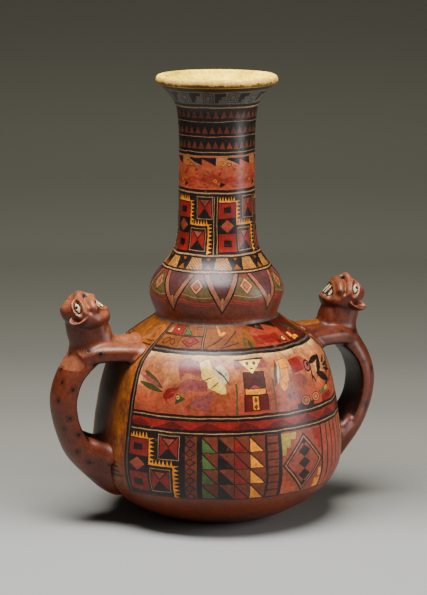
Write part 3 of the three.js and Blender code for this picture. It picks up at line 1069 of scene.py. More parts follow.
def bulb_paint():
    """Chevrons from the height less the slope times the angle to the nearest point; rings by height."""
    paint = Paint("bulb_paint", 0.75)
    tree, angle, height = paint.tree, paint.angle, paint.height
    paint.colour, _ = steps(tree, height, BULB_RINGS)
    stroke = height + (angle * 0.14).math("SINE") * 1.2
    paint.lay("rust", stroke.within(151.4, 153.6))
    paint.lay("red", stroke.within(152, 152.8) | stroke.within(154.6, 155.2))
    paint.lay("tan", stroke.within(156.8, 157.2))
    bulb = height.within(*BULB_BAND)

    tip = abs((angle + CHEVRON_START).repeat(-CHEVRON_TURN / 2, CHEVRON_TURN / 2))
    rise = height - tip * (2 * CHEVRON_RISE / CHEVRON_TURN)
    between = tip * -1 + CHEVRON_TURN / 2
    lozenge = between * (1 / LOZENGE_HALF[0]) + abs(height - LOZENGE_LEVEL) * (1 / LOZENGE_HALF[1])
    for name, reach in LOZENGE_RINGS:
        paint.lay(name, (lozenge < reach) & bulb)
    for name, low, high in CHEVRON_STRIPES:
        paint.lay(name, rise.within(low, high) & bulb)
    paint.lay("tan", (tip < 0.9) & height.within(148, 156))

    block = abs((angle + SMALL_START).repeat(-180 / SMALL_BLOCKS, 180 / SMALL_BLOCKS))
    small = height.within(*SMALL_BAND)
    up = height - SMALL_BAND[0]
    paint.lay("sand", (block + up * SMALL_LEAN < 9.6) & small)
    hatch = (angle * 0.5 + height).zigzag(1.9) > 0.72
    paint.lay("brown", hatch & (block + up * SMALL_LEAN < 8.4) & small)
    gap = block * -1 + 180 / SMALL_BLOCKS
    paint.lay("amber", ((gap + up * 1.5 < 4.8) | (gap - up * 1.6 < -8.4)) & small)
    return paint.burnish(wear=0.45, roughness=0.36)


bulb_material = bulb_paint()

# %% [markdown]
# ## The picture panel
#
# The widest painting is a scene on each face of the body, between the handles: a dressed figure with
# staffs, feathers, birds and leaves on a ground that pales upwards, under a shoulder band of small squares.
# The figure is generic. The back has the same bands with only the leaves and squares. Strips of bare ochre
# run down under the handles.

# %% Panel paint
PANEL_GROUND = [(84, "brick"), (95, "salmon"), (108, "tan"), (118, "tan"), (121.4, "cream")]
PANEL_LINES = [
    (66, "black"), (72.6, "line"), (73.3, "black"), (75, "red"), (80.4, "black"), (82.2, "line"),
    (83, "black"), (84.6, None), (121.2, "black"), (122.6, "grey"), (123.5, "black"),
]
SHOULDER_LINES = [
    (118, "black"), (122.6, "grey"), (123.5, "black"), (124.8, None), (137.4, "grey"), (138.2, "umber"),
]
BORDER = [(0, None), (64, "black"), (65.2, "grey"), (65.9, "black"), (67.2, "ochre")]
SHOULDER_GROUND = [
    (-70, "amber"), (-48.9, "black"), (-48.2, "amber"), (-32.4, "black"), (-31.6, "line"), (-31, "black"),
    (-30, "amber"), (5, "rust"), (35.4, "black"), (36.4, "deep red"),
]
SHOULDER_ROWS = [
    ("box", -54, 134.1, 4.8, 2.6, 0, "red", 0.12), ("oval", -54.6, 134.3, 1.1, 0.9, 0, "pale", 0.4),
    ("wedge", -61, 133.8, 2.6, 2.4, 0, "tan", 0.2), ("oval", -58.5, 127.6, 2.6, 1.6, 30, "amber", 0.26),
    ("oval", -53.4, 127.6, 2.2, 1.4, -30, "amber", 0.3), ("box", -48, 131, 16, 0.3, 0, "black", 0),
    ("corner", -43.4, 134, 3.6, 2.6, 0, "green", 0.16), ("wedge", -36.2, 134, 2.6, 2.2, 180, "amber", 0.18),
    ("diamond", -40, 128.2, 6.4, 3.2, 0, "red", 0.16), ("diamond", -40, 128.2, 2.6, 1.3, 0, "brick", 0.3),
    ("leaf", -20, 134.4, 3.6, 0.9, -58, "yellow", 0), ("leaf", -17, 132.6, 3.0, 0.8, 16, "yellow", 0),
    ("leaf", -22, 128.4, 8.6, 0.4, 28, "dark", 0), ("leaf", -11, 130.6, 10, 0.4, 34, "dark", 0),
    ("leaf", -13, 126.6, 8.6, 0.35, 12, "dark", 0), ("diamond", -3, 134.3, 3.2, 2.1, 20, "brick", 0),
    ("leaf", -2, 128.4, 3.4, 1.2, 62, "olive", 0), ("leaf", 1, 126.6, 3.0, 1.2, 100, "deep green", 0),
    ("box", 17, 128.6, 11, 2.2, 0, "red", 0), ("box", 28, 126.4, 4.4, 1.0, 0, "deep red", 0),
    ("oval", 31, 127.4, 1.9, 1.4, 0, "pale", 0.3), ("oval", 31, 127.4, 0.7, 0.5, 0, "rust", 0),
    ("leaf", 50, 131.4, 9, 1.6, -24, "deep green", 0.2), ("box", 44.4, 126.2, 4.4, 1.1, 0, "yellow", 0.16),
    ("box", 41.6, 128, 1.8, 1.5, 0, "yellow", 0.16), ("leaf", 58, 129, 7, 0.5, -30, "black", 0),
]
LEAF_ROWS = [
    ("leaf", -55, 105.4, 9.8, 2.0, -30, "olive", 0.2), ("leaf", -57.4, 104.9, 9.2, 1.5, -18, "mauve", 0),
    ("leaf", -55.8, 100.6, 10.4, 1.7, -12, "deep green", 0.2),
    ("leaf", -37, 115.2, 8.0, 4.4, -14, "mauve", 0),
    ("wedge", -38.6, 112.8, 5.2, 4.4, -70, "mauve", 0), ("box", -31.8, 113.6, 5.0, 4.2, -14, "mauve", 0),
    ("leaf", -35.2, 104, 7.6, 3.6, 10, "mauve", 0), ("wedge", -36.4, 102.4, 4.0, 3.4, -60, "mauve", 0),
    ("box", -29.6, 103.4, 4.6, 3.4, 6, "mauve", 0), ("leaf", -29.6, 93.6, 7.0, 3.8, 34, "mauve", 0),
    ("wedge", -26.6, 90.8, 4.2, 3.4, -20, "mauve", 0), ("box", -25.6, 95.6, 4.0, 3.2, 30, "mauve", 0),
    ("leaf", 28.6, 112.6, 7.6, 4.2, 10, "brick", 0), ("box", 24.6, 112, 5.6, 4.4, 6, "red", 0),
    ("leaf", 25.4, 102.6, 7.4, 4.0, -10, "mauve", 0), ("box", 21.4, 103, 5.2, 4.0, -8, "brick", 0),
    ("leaf", 20.6, 93.4, 6.8, 4.0, -28, "mauve", 0), ("box", 17, 94.6, 4.6, 3.8, -22, "mauve", 0),
    ("leaf", 56, 105, 9, 2.0, 30, "olive", 0.2), ("leaf", 57, 98, 8.4, 1.6, 18, "brick", 0.2),
]
FIGURE_ROWS = [
    ("oval", -44.8, 98, 5.0, 3.2, 34, "red", 0), ("leaf", -41.4, 100.6, 3.6, 0.6, 44, "red", 0),
    ("leaf", -42, 98.8, 4.2, 0.5, 12, "brick", 0), ("leaf", -46.6, 94, 3.0, 0.6, -60, "red", 0),
    ("wedge", -40.2, 95.4, 4.2, 3.0, 30, "deep green", 0), ("oval", -40.5, 95.6, 1.5, 1.6, 0, "pale", 0.2),
    ("oval", -40.5, 95.6, 0.7, 0.7, 0, "red", 0), ("oval", -19.6, 110, 6.2, 5.4, -50, "chalk", 0),
    ("leaf", -21.2, 112.6, 4.6, 0.5, -40, "olive", 0), ("leaf", -18.6, 110.2, 4.8, 0.5, -46, "olive", 0),
    ("leaf", -16.6, 107, 4.2, 0.5, -56, "olive", 0), ("box", -27.2, 114, 4.6, 3.6, -72, "pale", 0),
    ("leaf", -26.2, 110.6, 6.0, 4.4, -66, "pale", 0), ("leaf", -23.2, 105.6, 6.0, 4.2, -56, "pale", 0),
    ("leaf", -19.8, 102, 4.8, 3.4, -40, "pale", 0), ("leaf", -26, 107.8, 4.4, 0.4, 20, "olive", 0),
    ("leaf", -22.4, 104, 4.0, 0.4, 36, "olive", 0), ("box", -12, 95, 0.7, 10, 0, "olive", 0),
    ("box", 7.5, 96, 0.7, 10, 0, "olive", 0), ("box", -2.6, 106.6, 7.8, 5.2, 0, "purple", 0.07),
    ("wedge", -2.6, 102.6, 5.2, 1.5, 0, "mauve", 0.24), ("box", -3.2, 116, 12.6, 2.4, 0, "mauve", 0),
    ("wedge", -3.1, 114.5, 10, 4.2, 180, "pale", 0.08), ("box", -3.4, 118.9, 12, 0.4, 0, "black", 0),
    ("oval", -5.2, 116.6, 1.3, 1.0, 0, "olive", 0.3), ("oval", -1.1, 116.6, 1.3, 1.0, 0, "olive", 0.3),
    ("box", -3.1, 113.6, 1.0, 0.4, 0, "dark", 0), ("box", -2.3, 92, 8.4, 5.6, 0, "deep red", 0.09),
    ("box", -2.5, 99.2, 7.8, 1.8, 0, "yellow", 0.1), ("box", -2.7, 92, 2.3, 5.2, 0, "yellow", 0.16),
    ("diamond", -2.7, 94, 1.4, 2.2, 0, "umber", 0), ("diamond", -2.7, 89.6, 1.4, 2.2, 0, "umber", 0),
    ("box", -2.2, 86, 8.0, 0.8, 0, "rust", 0), ("leaf", 10, 109.4, 8.4, 1.4, 76, "olive", 0.24),
    ("leaf", 11.6, 109.6, 7.4, 0.9, 76, "chalk", 0), ("box", 15.6, 113, 4.2, 3.4, 96, "yellow", 0.06),
    ("box", 15.4, 107.4, 4.2, 3.4, 88, "yellow", 0.06), ("leaf", 13.8, 102, 5.0, 3.6, 76, "yellow", 0.06),
    ("leaf", 35.4, 104.6, 5.4, 0.8, 76, "dark", 0), ("oval", 33.4, 110, 3.8, 3.8, 0, "mauve", 0.26),
    ("oval", 34, 110.6, 1.2, 1.4, 0, "black", 0), ("leaf", 36.4, 101.4, 4.4, 0.8, 120, "black", 0),
    ("leaf", 42, 112.5, 9.2, 1.9, 8, "black", 0), ("leaf", 45, 107.9, 9.0, 2.6, 46, "black", 0),
    ("leaf", 46.3, 100.3, 9.6, 2.9, -24, "black", 0), ("leaf", 48.6, 95.4, 4.8, 1.2, 40, "black", 0),
    ("leaf", 53.4, 109.8, 6.0, 1.0, 18, "black", 0), ("leaf", 54.4, 106.6, 6.4, 1.0, 2, "black", 0),
    ("leaf", 54, 103.2, 6.6, 1.1, -14, "black", 0), ("box", 26, 86, 8.2, 1.8, 0, "dark", 0),
    ("oval", 26.2, 89, 4.8, 3.5, 0, "tan", 0.14), ("oval", 26.2, 89, 2.6, 1.9, 0, "tan", 0.26),
    ("oval", 34.4, 89.6, 4.6, 3.3, 0, "tan", 0.14), ("oval", 34.4, 89.6, 2.5, 1.8, 0, "tan", 0.26),
    ("box", 42, 91.6, 4.6, 1.2, 8, "green", 0.12), ("box", 46, 92.6, 3.4, 1.5, 8, "lime", 0.12),
    ("box", 45, 87.4, 8, 2.2, 6, "red", 0),
]
PANEL_HALF = 90
# Painted shade under the handle: its start and spread in degrees, its most, and its low and high in mm
SHADE_FROM, SHADE_OVER, SHADE_MOST, SHADE_BAND = 70, 16, 0.9, (36, 117)
STREAK, STREAK_NOISE = (1, 1, 0.35), (130, 6, 0.7)
# Brown streaks on the strip, partly stain and partly painted shade: from this height down, over these mm, to
# this most
DOWNWARD_SHADE_FROM, DOWNWARD_SHADE_OVER, DOWNWARD_SHADE_MOST = 118, 250, 0.08
# Noise for umber stains and, on the upper panel, pale patches that are partly a painted sheen
STAIN_AND_SHEEN_NOISE = (85, 9, 0.8)
ZIGZAG_TURN, ZIGZAG_RISE, ZIGZAG_BAND = 17, 5, (75.2, 80.2)
SAW_WEDGE, SAW_WEDGES = 15, (5, 35)
FRINGE_TURN, FRINGE_BAND = (68.6, 77), (119, 126.6)
# Share of dark slip laid evenly over the whole shoulder to darken it
SHOULDER_DARKENING = 0.24


def lay_border(paint, panel):
    """The upright border lines and, beyond them, the ochre strip, with painted shade under the handle and
    brown streaks, partly stain and partly painted shade, that grow stronger downwards.
    """
    side = abs(panel)
    colour, mask = steps(paint.tree, side, BORDER)
    paint.lay(colour, mask)
    # Painted shade: the strip darkens towards the handle, where the handle's shade falls
    under = ((side - SHADE_FROM) * (1 / SHADE_OVER)).held(SHADE_MOST)
    paint.lay("dark", under & paint.height.within(*SHADE_BAND))
    # Brown streaks, partly stain and partly painted shade, more of them lower down
    streak = vector_math(paint.tree, "MULTIPLY", object_place(paint.tree), STREAK)[0]
    shade_and_streaks, _ = add_noise(paint.tree, streak, *STREAK_NOISE)
    shade_downwards = ((paint.height * -1 + DOWNWARD_SHADE_FROM) * (1 / DOWNWARD_SHADE_OVER)).held(DOWNWARD_SHADE_MOST)
    stain_and_shade = (shade_and_streaks + shade_downwards - 0.47).slope(5, 0.75)
    paint.lay("brown", stain_and_shade & (side > BORDER[-1][0]))


def panel_paint():
    """Ground by height, then motifs, then the lines round and the borders, over the overlaps."""
    paint = Paint("panel_paint", 1.36)
    tree, angle, height = paint.tree, paint.angle, paint.height
    panel = angle.repeat(-PANEL_HALF, PANEL_HALF)
    front = abs(angle) < PANEL_HALF
    paint.colour, _ = steps(tree, height, PANEL_GROUND, smooth=True)
    chart = paint.flat_chart(panel)
    # Umber stains where the noise is low; above 100 mm, pale cream where it is high, partly paler paint and
    # partly a painted sheen
    stain_and_sheen, _ = add_noise(tree, object_place(tree), *STAIN_AND_SHEEN_NOISE)
    paint.lay("umber", (stain_and_sheen * -1 + 0.5).slope(4, 0.5))
    paint.lay("cream", (stain_and_sheen - 0.54).slope(5, 0.5) & (height > 100))
    paint.draw(LEAF_ROWS, chart, height < 122)
    paint.draw(FIGURE_ROWS, chart, front)
    colour, mask = steps(tree, height, PANEL_LINES)
    paint.lay(colour, mask)
    zigzag = panel.zigzag(ZIGZAG_TURN) * ZIGZAG_RISE + ZIGZAG_BAND[0]
    paint.lay("deep red", (zigzag > height) & height.within(*ZIGZAG_BAND))
    lay_border(paint, panel)
    return paint.burnish(wear=0.5, roughness=0.36)


def shoulder_paint():
    """Compartments by angle, their motifs, and the lines."""
    paint = Paint("shoulder_paint", 0.95)
    tree, angle, height = paint.tree, paint.angle, paint.height
    panel = angle.repeat(-PANEL_HALF, PANEL_HALF)
    paint.colour, _ = steps(tree, panel, SHOULDER_GROUND)
    paint.draw(SHOULDER_ROWS, paint.flat_chart(panel), height > 124.4)
    saw = (panel - SAW_WEDGES[0]).repeat(0, SAW_WEDGE)
    paint.lay("black", (height + saw * 0.24 > 136.4) & panel.within(*SAW_WEDGES))
    colour, mask = steps(tree, height, SHOULDER_LINES)
    paint.lay(colour, mask)
    lay_border(paint, panel)
    fringe = abs(panel).within(*FRINGE_TURN) & height.within(*FRINGE_BAND)
    paint.lay("black", (height.zigzag(2.2) > 0.7) & fringe)
    paint.lay("grey", height > 137.4)
    # The whole shoulder darkened evenly
    paint.lay("dark", SHOULDER_DARKENING)
    return paint.burnish(wear=0.7, roughness=0.42, sheen=0.14)


panel_material, shoulder_material = panel_paint(), shoulder_paint()

# %% [markdown]
# ## The lower band and the foot
#
# Below the picture run upright columns: the comb-step block, a column of scallops, a net of small right
# triangles in four colours, a large double-edged diamond, and red stripes. The foot is left in plain
# red-brown.

# %% Lower paint
LOWER_COLUMNS = [
    (-90, "black"), (-37.4, "line"), (-37, "black"), (-36.2, "umber"), (-30.5, "black"), (-29.6, "line"),
    (-29.2, "black"), (-28.3, "umber"), (0.4, "black"), (1.4, "umber"), (6.9, "black"), (8.4, "brick"),
    (33.2, "black"), (34, "brick"), (57, "dark"), (58.4, "yellow"), (60.2, "dark"),
]
NET_COLUMNS = [(-28.3, "green"), (-21.1, "black"), (-14, "red"), (-6.8, "yellow")]
NET_WIDE, NET_LOW, NET_HIGH = 7.18, 28.4, 10.65
LOWER_LINES = [(-8, "base"), (27.8, "black"), (28.7, None), (71, "black"), (72.6, "line"), (73.3, "black")]
FOOT_TOP = 27.8
# The comb-step block's left edge, width, low edge and height; a stretch is from one angle to another
COMB_LEFT, COMB_WIDE, COMB_LOW, COMB_HIGH, COMB_END = -65.3, 27.4, 30, 41, -38.2
SCALLOP_MIDDLE, SCALLOP_HALF, SCALLOP_STRETCH = -33.5, (2.8, 3), (-36.4, -30.6)
NET_STRETCH, RUNG_STRETCH, RUNG_RISE = (-28.2, 0.3), (1.5, 6.9), 5.2
DIAMOND_MIDDLE, DIAMOND_HALF, LINK_HALF = (21.3, 49), (12.2, 19.8), (3.6, 4)
STRIPE_WIDE, STRIPE_STRETCH = 4.6, (34, 57)
CLAW_TURN, CLAW_BAND = (69.6, 78), (36, 47)
CORNER_STEPS = [
    ("lime", 9, 17, 66, 70), ("lime", 9, 13.7, 61, 66), ("lime", 9, 11, 56, 61), ("salmon", 9, 10.8, 38, 42),
    ("salmon", 9, 14, 33.5, 38), ("salmon", 9, 17.7, 29.6, 33.5), ("yellow", 31, 33, 37, 43),
    ("yellow", 29, 33, 29.6, 36), ("red", 28, 33, 62, 70), ("red", 30.6, 33, 56, 62),
]


def lower_paint():
    """Columns by angle, each filled with its own repeat."""
    paint = Paint("lower_paint", 1.46)
    tree, angle, height = paint.tree, paint.angle, paint.height
    panel = angle.repeat(-PANEL_HALF, PANEL_HALF)
    paint.colour, _ = steps(tree, panel, LOWER_COLUMNS)

    combs = add_group(tree, COMBS)
    plug(tree, (panel - COMB_LEFT) * (1 / COMB_WIDE), combs.inputs["Across"])
    plug(tree, (height - COMB_LOW) * (1 / COMB_HIGH), combs.inputs["Up"])
    paint.lay(combs.outputs["Colour"], panel < COMB_END)

    wide, high = SCALLOP_HALF
    up = (height - COMB_LOW).repeat(-high, high)
    scallop = abs(panel - SCALLOP_MIDDLE) * (1 / wide) + abs(up) * (1 / high)
    paint.lay("dark", scallop.within(0.62, 1) & panel.within(*SCALLOP_STRETCH))

    net_x = ((panel - NET_COLUMNS[0][0]) * (1 / NET_WIDE)).math("FRACT")
    net_y = ((height - NET_LOW) * (1 / NET_HIGH)).math("FRACT")
    net = panel.within(*NET_STRETCH)
    colour, _ = steps(tree, panel, NET_COLUMNS)
    paint.lay(colour, (net_x + net_y < 1) & net)
    lines = (net_x + net_y).within(0.95, 1.06) | (net_x < 0.05) | (net_y < 0.05)
    paint.lay("black", lines & net)

    paint.lay("dark", (height.zigzag(RUNG_RISE) > 0.8) & panel.within(*RUNG_STRETCH))
    for name, left, right, low, high in CORNER_STEPS:
        paint.lay(name, box(panel, height, left, right, low, high))
    across, up = abs(panel - DIAMOND_MIDDLE[0]), height - DIAMOND_MIDDLE[1]
    diamond = across * (1 / DIAMOND_HALF[0]) + abs(up) * (1 / DIAMOND_HALF[1])
    paint.lay("black", diamond.within(0.93, 1.02) | diamond.within(0.78, 0.85))
    paint.lay("line", diamond.within(0.87, 0.92))
    wide, high = LINK_HALF
    link = across * (1 / wide) + abs(up.repeat(-high, high)) * (1 / high)
    paint.lay("black", (link < 1) & (diamond < 0.78))

    stripe = (panel - STRIPE_STRETCH[0]).zigzag(STRIPE_WIDE) < 0.2
    paint.lay("black", stripe & panel.within(*STRIPE_STRETCH))
    colour, mask = steps(tree, height, LOWER_LINES)
    paint.lay(colour, mask)
    lay_border(paint, panel)
    paint.lay("base", height < FOOT_TOP)
    claw = abs(panel) - (height - CLAW_BAND[0]) * (1 / 3)
    paint.lay("black", (height.zigzag(3) > 0.6) & claw.within(*CLAW_TURN) & height.within(*CLAW_BAND))
    return paint.burnish(wear=0.5, roughness=0.4)


lower_material = lower_paint()

# %% [markdown]
# ## The mouth, and each band to its rows
#
# The lip and the inside are one cream slip, rubbed through to brown along the lip's edge. Every band of the
# mesh then takes its material.

# %% Cream slip and the bands' materials
CREAM_SLOT = len(BAND_EDGES) + 1
# The radius where the lip's outer edge starts, the heights that its tan and its speckle grow down from, and
# the height where the throat turns tan
LIP_OUTER, EDGE_TOP, SPECKLE_TOP, THROAT_TOP = 39, 299.4, 297.4, 262
SPECKLE_NOISE = (240, 6, 0.75)


def cream_paint():
    """Cream, tan and speckled brown along the lip's outer edge, and darker down the throat."""
    paint = Paint("cream_slip", 0.6)
    tree, height = paint.tree, paint.height
    paint.colour = "lip"
    scuff, _ = add_noise(tree, object_place(tree), *SPECKLE_NOISE)
    speckle = (height - SPECKLE_TOP) * -0.12 + scuff - 0.62
    flat = vector_math(tree, "MULTIPLY", object_place(tree), (1, 1, 0))[0]
    outer = vector_math(tree, "LENGTH", flat)[1] > LIP_OUTER * MM
    paint.lay("cream", (height * -1 + EDGE_TOP).held(0.8) & outer)
    paint.lay("brown", speckle.slope(9, 0.8) & outer)
    paint.lay("tan", height < THROAT_TOP)
    return paint.burnish(wear=0.2, roughness=0.6, sheen=0.14)


cream_material = cream_paint()


def band_of_row(row):
    """Which material a row of the bottle's faces takes: by height on the outside, and cream from the lip
    inwards."""
    if row >= lip_row:
        return CREAM_SLOT
    return int(np.searchsorted(BAND_EDGES, profile[row:row + 2, 1].mean()))


from_the_foot_up = (lower_material, panel_material, shoulder_material, bulb_material, neck_material)
for material in (*from_the_foot_up, cream_material):
    bottle.data.materials.append(material)
row_bands = [band_of_row(row) for row in range(len(profile) - 1)]
face_bands = np.repeat([*row_bands, 0, CREAM_SLOT], ROUND_STEPS).astype(np.int32)
bottle.data.polygons.foreach_set("material_index", face_bands)
print("faces in each band", np.bincount(face_bands))

# %% [markdown]
# ## The spotted cats
#
# Each cat is red-brown slip with black spots, cream eyes and teeth, and a dark inner side, which is partly
# black slip and partly painted shade; painted shade also darkens the underside of its chest and jaw, and a
# pale painted highlight, which also stands for rubbed clay, lies on what faces up. Spots are places in the
# clay, so they are kept as points of the right cat, and every corner of both cats carries its own place in
# that cat as an attribute. Painting a UV map by hand would do too, but then the two cats would need two
# paintings.

# %% Cat paint
SPOTS = [
    (111.4, 8.7, 100.4), (106.2, 15.1, 95.9), (114.5, 9, 87.8), (108.4, 14.8, 76.6), (111.4, 10.7, 69),
    (102.8, 16.5, 65.3), (94.8, 14.2, 121.4), (88.8, 18.1, 119.4), (69.7, 22, 123.3), (101.8, 14.9, 53.3),
    (94.1, 17.5, 46), (65.1, -19.1, 125.8), (85.3, -18.9, 122.2), (97.3, -12.9, 120), (110.6, -13, 93),
    (104.5, -15.3, 98.7), (105, -15.7, 67.9), (116.2, 0, 95), (116.4, -2, 79), (113, -3, 64), (110.6, 2, 108),
    (106, -8, 54), (97.5, -12, 42), (101, 3, 44), (104, 2, 118), (91, 8, 34), (112, -9, 82),
]
SPOT, HALO_IN, HALO_OUT, HALO_SHARE = 1.5, 2.0, 2.9, 0.55
NOSTRIL_PLACE, NOSTRIL = (2.5, 11.0, 6.8), 1.5
EYE_RIM = 0.6
PUPIL_PLACE, PUPIL = (13.6, 2.2, 9.1), 1.2
EAR_DOT = 2.0
# How far the face has to look forwards, in mm, and the shares of the mouth's oval that are black and have
# teeth
FACE_FROM, MOUTH_BLACK, TEETH_INSIDE, TOOTH_HALF = 5, 0.92, 0.66, 1.0
# Painted shade where the skin looks in at the bottle, there partly black slip too, and under the chest
# and the jaw, as where it starts, how fast it grows and its most, with the heights it is at
INNER_BLACK_AND_SHADE, INNER_BAND = (-0.2, 1 / 0.3, 0.9), (30, 116)
CHEST_SHADE, CHEST_BAND = (-0.35, 3, 0.9), (96, 121)
JAW_SHADE, JAW_LOW = (-0.15, 1.4, 0.6), 116
# Ochre on the flat top of the forelegs: how far up it has to face, X under, Y and Z between
OCHRE_FACING, OCHRE_REACH, OCHRE_SIDES, OCHRE_BAND = 0.93, 82, (-8, 8), (117, 131)
# Pale clay on what faces up, a painted highlight that also stands for clay rubbed by hands: how fast it
# grows and the height that it starts at
HIGHLIGHTS_AND_RUBS = {"cat_right": (1.2, 138), "cat_left": (1.4, 108)}
HIGHLIGHT_AND_RUB_FROM = 0.1


def clay_place(tree):
    """The place in the right cat that a corner was modelled at, in mm, and the same along the head's axes,
    with the side taken without its sign."""
    node = tree.nodes.new("ShaderNodeAttribute")
    node.attribute_name = CLAY
    place = node.outputs["Vector"]
    from_middle, _ = vector_math(tree, "SUBTRACT", place, HEAD_MIDDLE)
    side, face, crown = (vector_math(tree, "DOT_PRODUCT", from_middle, axis)[1] for axis in HEAD_AXES)
    both = tree.nodes.new("ShaderNodeCombineXYZ")
    for value, entry in zip((abs(side), face, crown), both.inputs):
        plug(tree, value, entry)
    return place, side, face, crown, both.outputs[0]


def lay_dots(paint, head, rows):
    """Round dots on the head: a slip where the distance to a point is under a radius."""
    for name, point, radius in rows:
        paint.lay(name, vector_math(paint.tree, "DISTANCE", head, point)[1] < radius)


def shade_and_streaks(facing, start, rise, most):
    """Painted shade that grows as the skin faces away from a direction."""
    return (facing * -1 + start).slope(rise, most)


def lay_shade_ochre_and_highlight(paint, place, name):
    """Black on the inner sides, partly slip and partly painted shade, painted shade under the chest and the
    jaw, ochre on top of the forelegs, and a pale painted highlight on what faces up, which also stands for
    rubbed clay.
    """
    tree = paint.tree
    x, y, z = split(tree, place)
    normal = tree.nodes.new("ShaderNodeNewGeometry").outputs["Normal"]
    flat = vector_math(tree, "MULTIPLY", object_place(tree), (1, 1, 0))[0]
    outward = vector_math(tree, "DOT_PRODUCT", normal, vector_math(tree, "NORMALIZE", flat)[0])[1]
    upward = split(tree, normal)[2]
    inner, under = shade_and_streaks(outward, *INNER_BLACK_AND_SHADE), shade_and_streaks(upward, *CHEST_SHADE)
    # Painted shade: black where the skin looks in at the bottle, there partly black slip too, and under the
    # chest
    paint.lay("black", (inner & z.within(*INNER_BAND)) | (under & z.within(*CHEST_BAND)))
    on_top = (upward > OCHRE_FACING) & (x < OCHRE_REACH)
    paint.lay("ochre", on_top & y.within(*OCHRE_SIDES) & z.within(*OCHRE_BAND))
    # Painted shade under the jaw
    paint.lay("dark", shade_and_streaks(upward, *JAW_SHADE) & (z > JAW_LOW))
    share, above = HIGHLIGHTS_AND_RUBS[name]
    # Painted highlight in pale clay on what faces up, which also stands for rubbing
    paint.lay("rubbed", (upward - HIGHLIGHT_AND_RUB_FROM).slope(share, share / 2) & (z > above))


def lay_spots(paint, place):
    """Black spots with faint rings: bands of the distance to the nearest of the spots."""
    nearest = vector_math(paint.tree, "DISTANCE", place, SPOTS[0])[1]
    for spot in SPOTS[1:]:
        nearest = nearest.math("MINIMUM", vector_math(paint.tree, "DISTANCE", place, spot)[1])
    paint.lay("dark", nearest.within(HALO_IN, HALO_OUT) * HALO_SHARE)
    paint.lay("black", nearest < SPOT)


def lay_face(paint, side, face, crown, head, name):
    """A black mouth with pale teeth, black rims round the eyes, nostrils and dark ears."""
    tree = paint.tree
    inside = mouth_oval(side, crown, MOUTHS[name])
    front = face > FACE_FROM
    paint.lay("black", (inside < MOUTH_BLACK) & front)
    tooth = abs(side.repeat(0, TEETH_SPACING) - TEETH_SPACING / 2)
    paint.lay("tooth", (tooth < TOOTH_HALF) & (inside < TEETH_INSIDE) & front)
    _, along, across = eye_axes()
    from_eye = vector_math(tree, "SUBTRACT", head, tuple(EYE_PLACE))[0]
    length = vector_math(tree, "DOT_PRODUCT", from_eye, tuple(along / (EYE_LENGTH + EYE_RIM)))[1]
    breadth = vector_math(tree, "DOT_PRODUCT", from_eye, tuple(across / (EYE_BREADTH + EYE_RIM)))[1]
    near_eye = vector_math(tree, "LENGTH", from_eye)[1] < 2 * EYE_LENGTH
    paint.lay("black", (length.math("MULTIPLY_ADD", length, breadth * breadth) < 1) & near_eye)
    lay_dots(paint, head, [("black", NOSTRIL_PLACE, NOSTRIL), ("dark", tuple(EARS[name]), EAR_DOT)])


def cat_paint(name):
    """Red-brown, with painted shade, ochre and a pale painted highlight that also stands for rubbed clay,
    then the spots and the face.
    """
    paint = Paint(f"{name}_slip", 1)
    place, side, face, crown, head = clay_place(paint.tree)
    paint.colour = "cat"
    lay_shade_ochre_and_highlight(paint, place, name)
    lay_spots(paint, place)
    lay_face(paint, side, face, crown, head, name)
    return paint.burnish(wear=0.35, roughness=0.38)


def eye_paint():
    """Cream with a dark pupil."""
    paint = Paint("eye_slip", 1)
    paint.colour = "chalk"
    lay_dots(paint, clay_place(paint.tree)[4], [("dark", PUPIL_PLACE, PUPIL)])
    return paint.burnish(wear=0.2, roughness=0.25)


eye_slip = eye_paint()
eye_faces = sum(len(faces) for _, faces in eyes)
for cat in cats:
    cat.data.materials.append(cat_paint(cat.name))
    cat.data.materials.append(eye_slip)
    slots = np.zeros(len(cat.data.polygons), np.int32)
    slots[-eye_faces:] = 1
    cat.data.polygons.foreach_set("material_index", slots)
    print(cat.name, "eye faces", eye_faces)

# %% [markdown]
# ## Stage, light and camera
#
# The bottle stands on a pale sweep that climbs into a grey backdrop, under soft studio light.

# %% Camera
VIEW_DISTANCE = 1.666
VIEW_RISE = math.radians(10.6)
VIEW_TURN = math.radians(-21.5)
VIEW_ANGLE = math.radians(13.85)
AIM = Vector((-0.0021, 0.0008, 0.1482))
SENSOR_HEIGHT = 36

camera_data = bpy.data.cameras.new("camera")
camera_data.sensor_fit = "VERTICAL"
camera_data.sensor_height = SENSOR_HEIGHT
camera_data.lens = SENSOR_HEIGHT / 2 / math.tan(VIEW_ANGLE / 2)
camera = bpy.data.objects.new("camera", camera_data)
bpy.context.scene.collection.objects.link(camera)
bpy.context.scene.camera = camera
back = Vector((
    math.sin(VIEW_TURN) * math.cos(VIEW_RISE),
    -math.cos(VIEW_TURN) * math.cos(VIEW_RISE),
    math.sin(VIEW_RISE),
))
camera.location = AIM + VIEW_DISTANCE * back
camera.rotation_euler = back.to_track_quat("Z", "Y").to_euler()
print("camera lens in mm", round(camera_data.lens, 1))

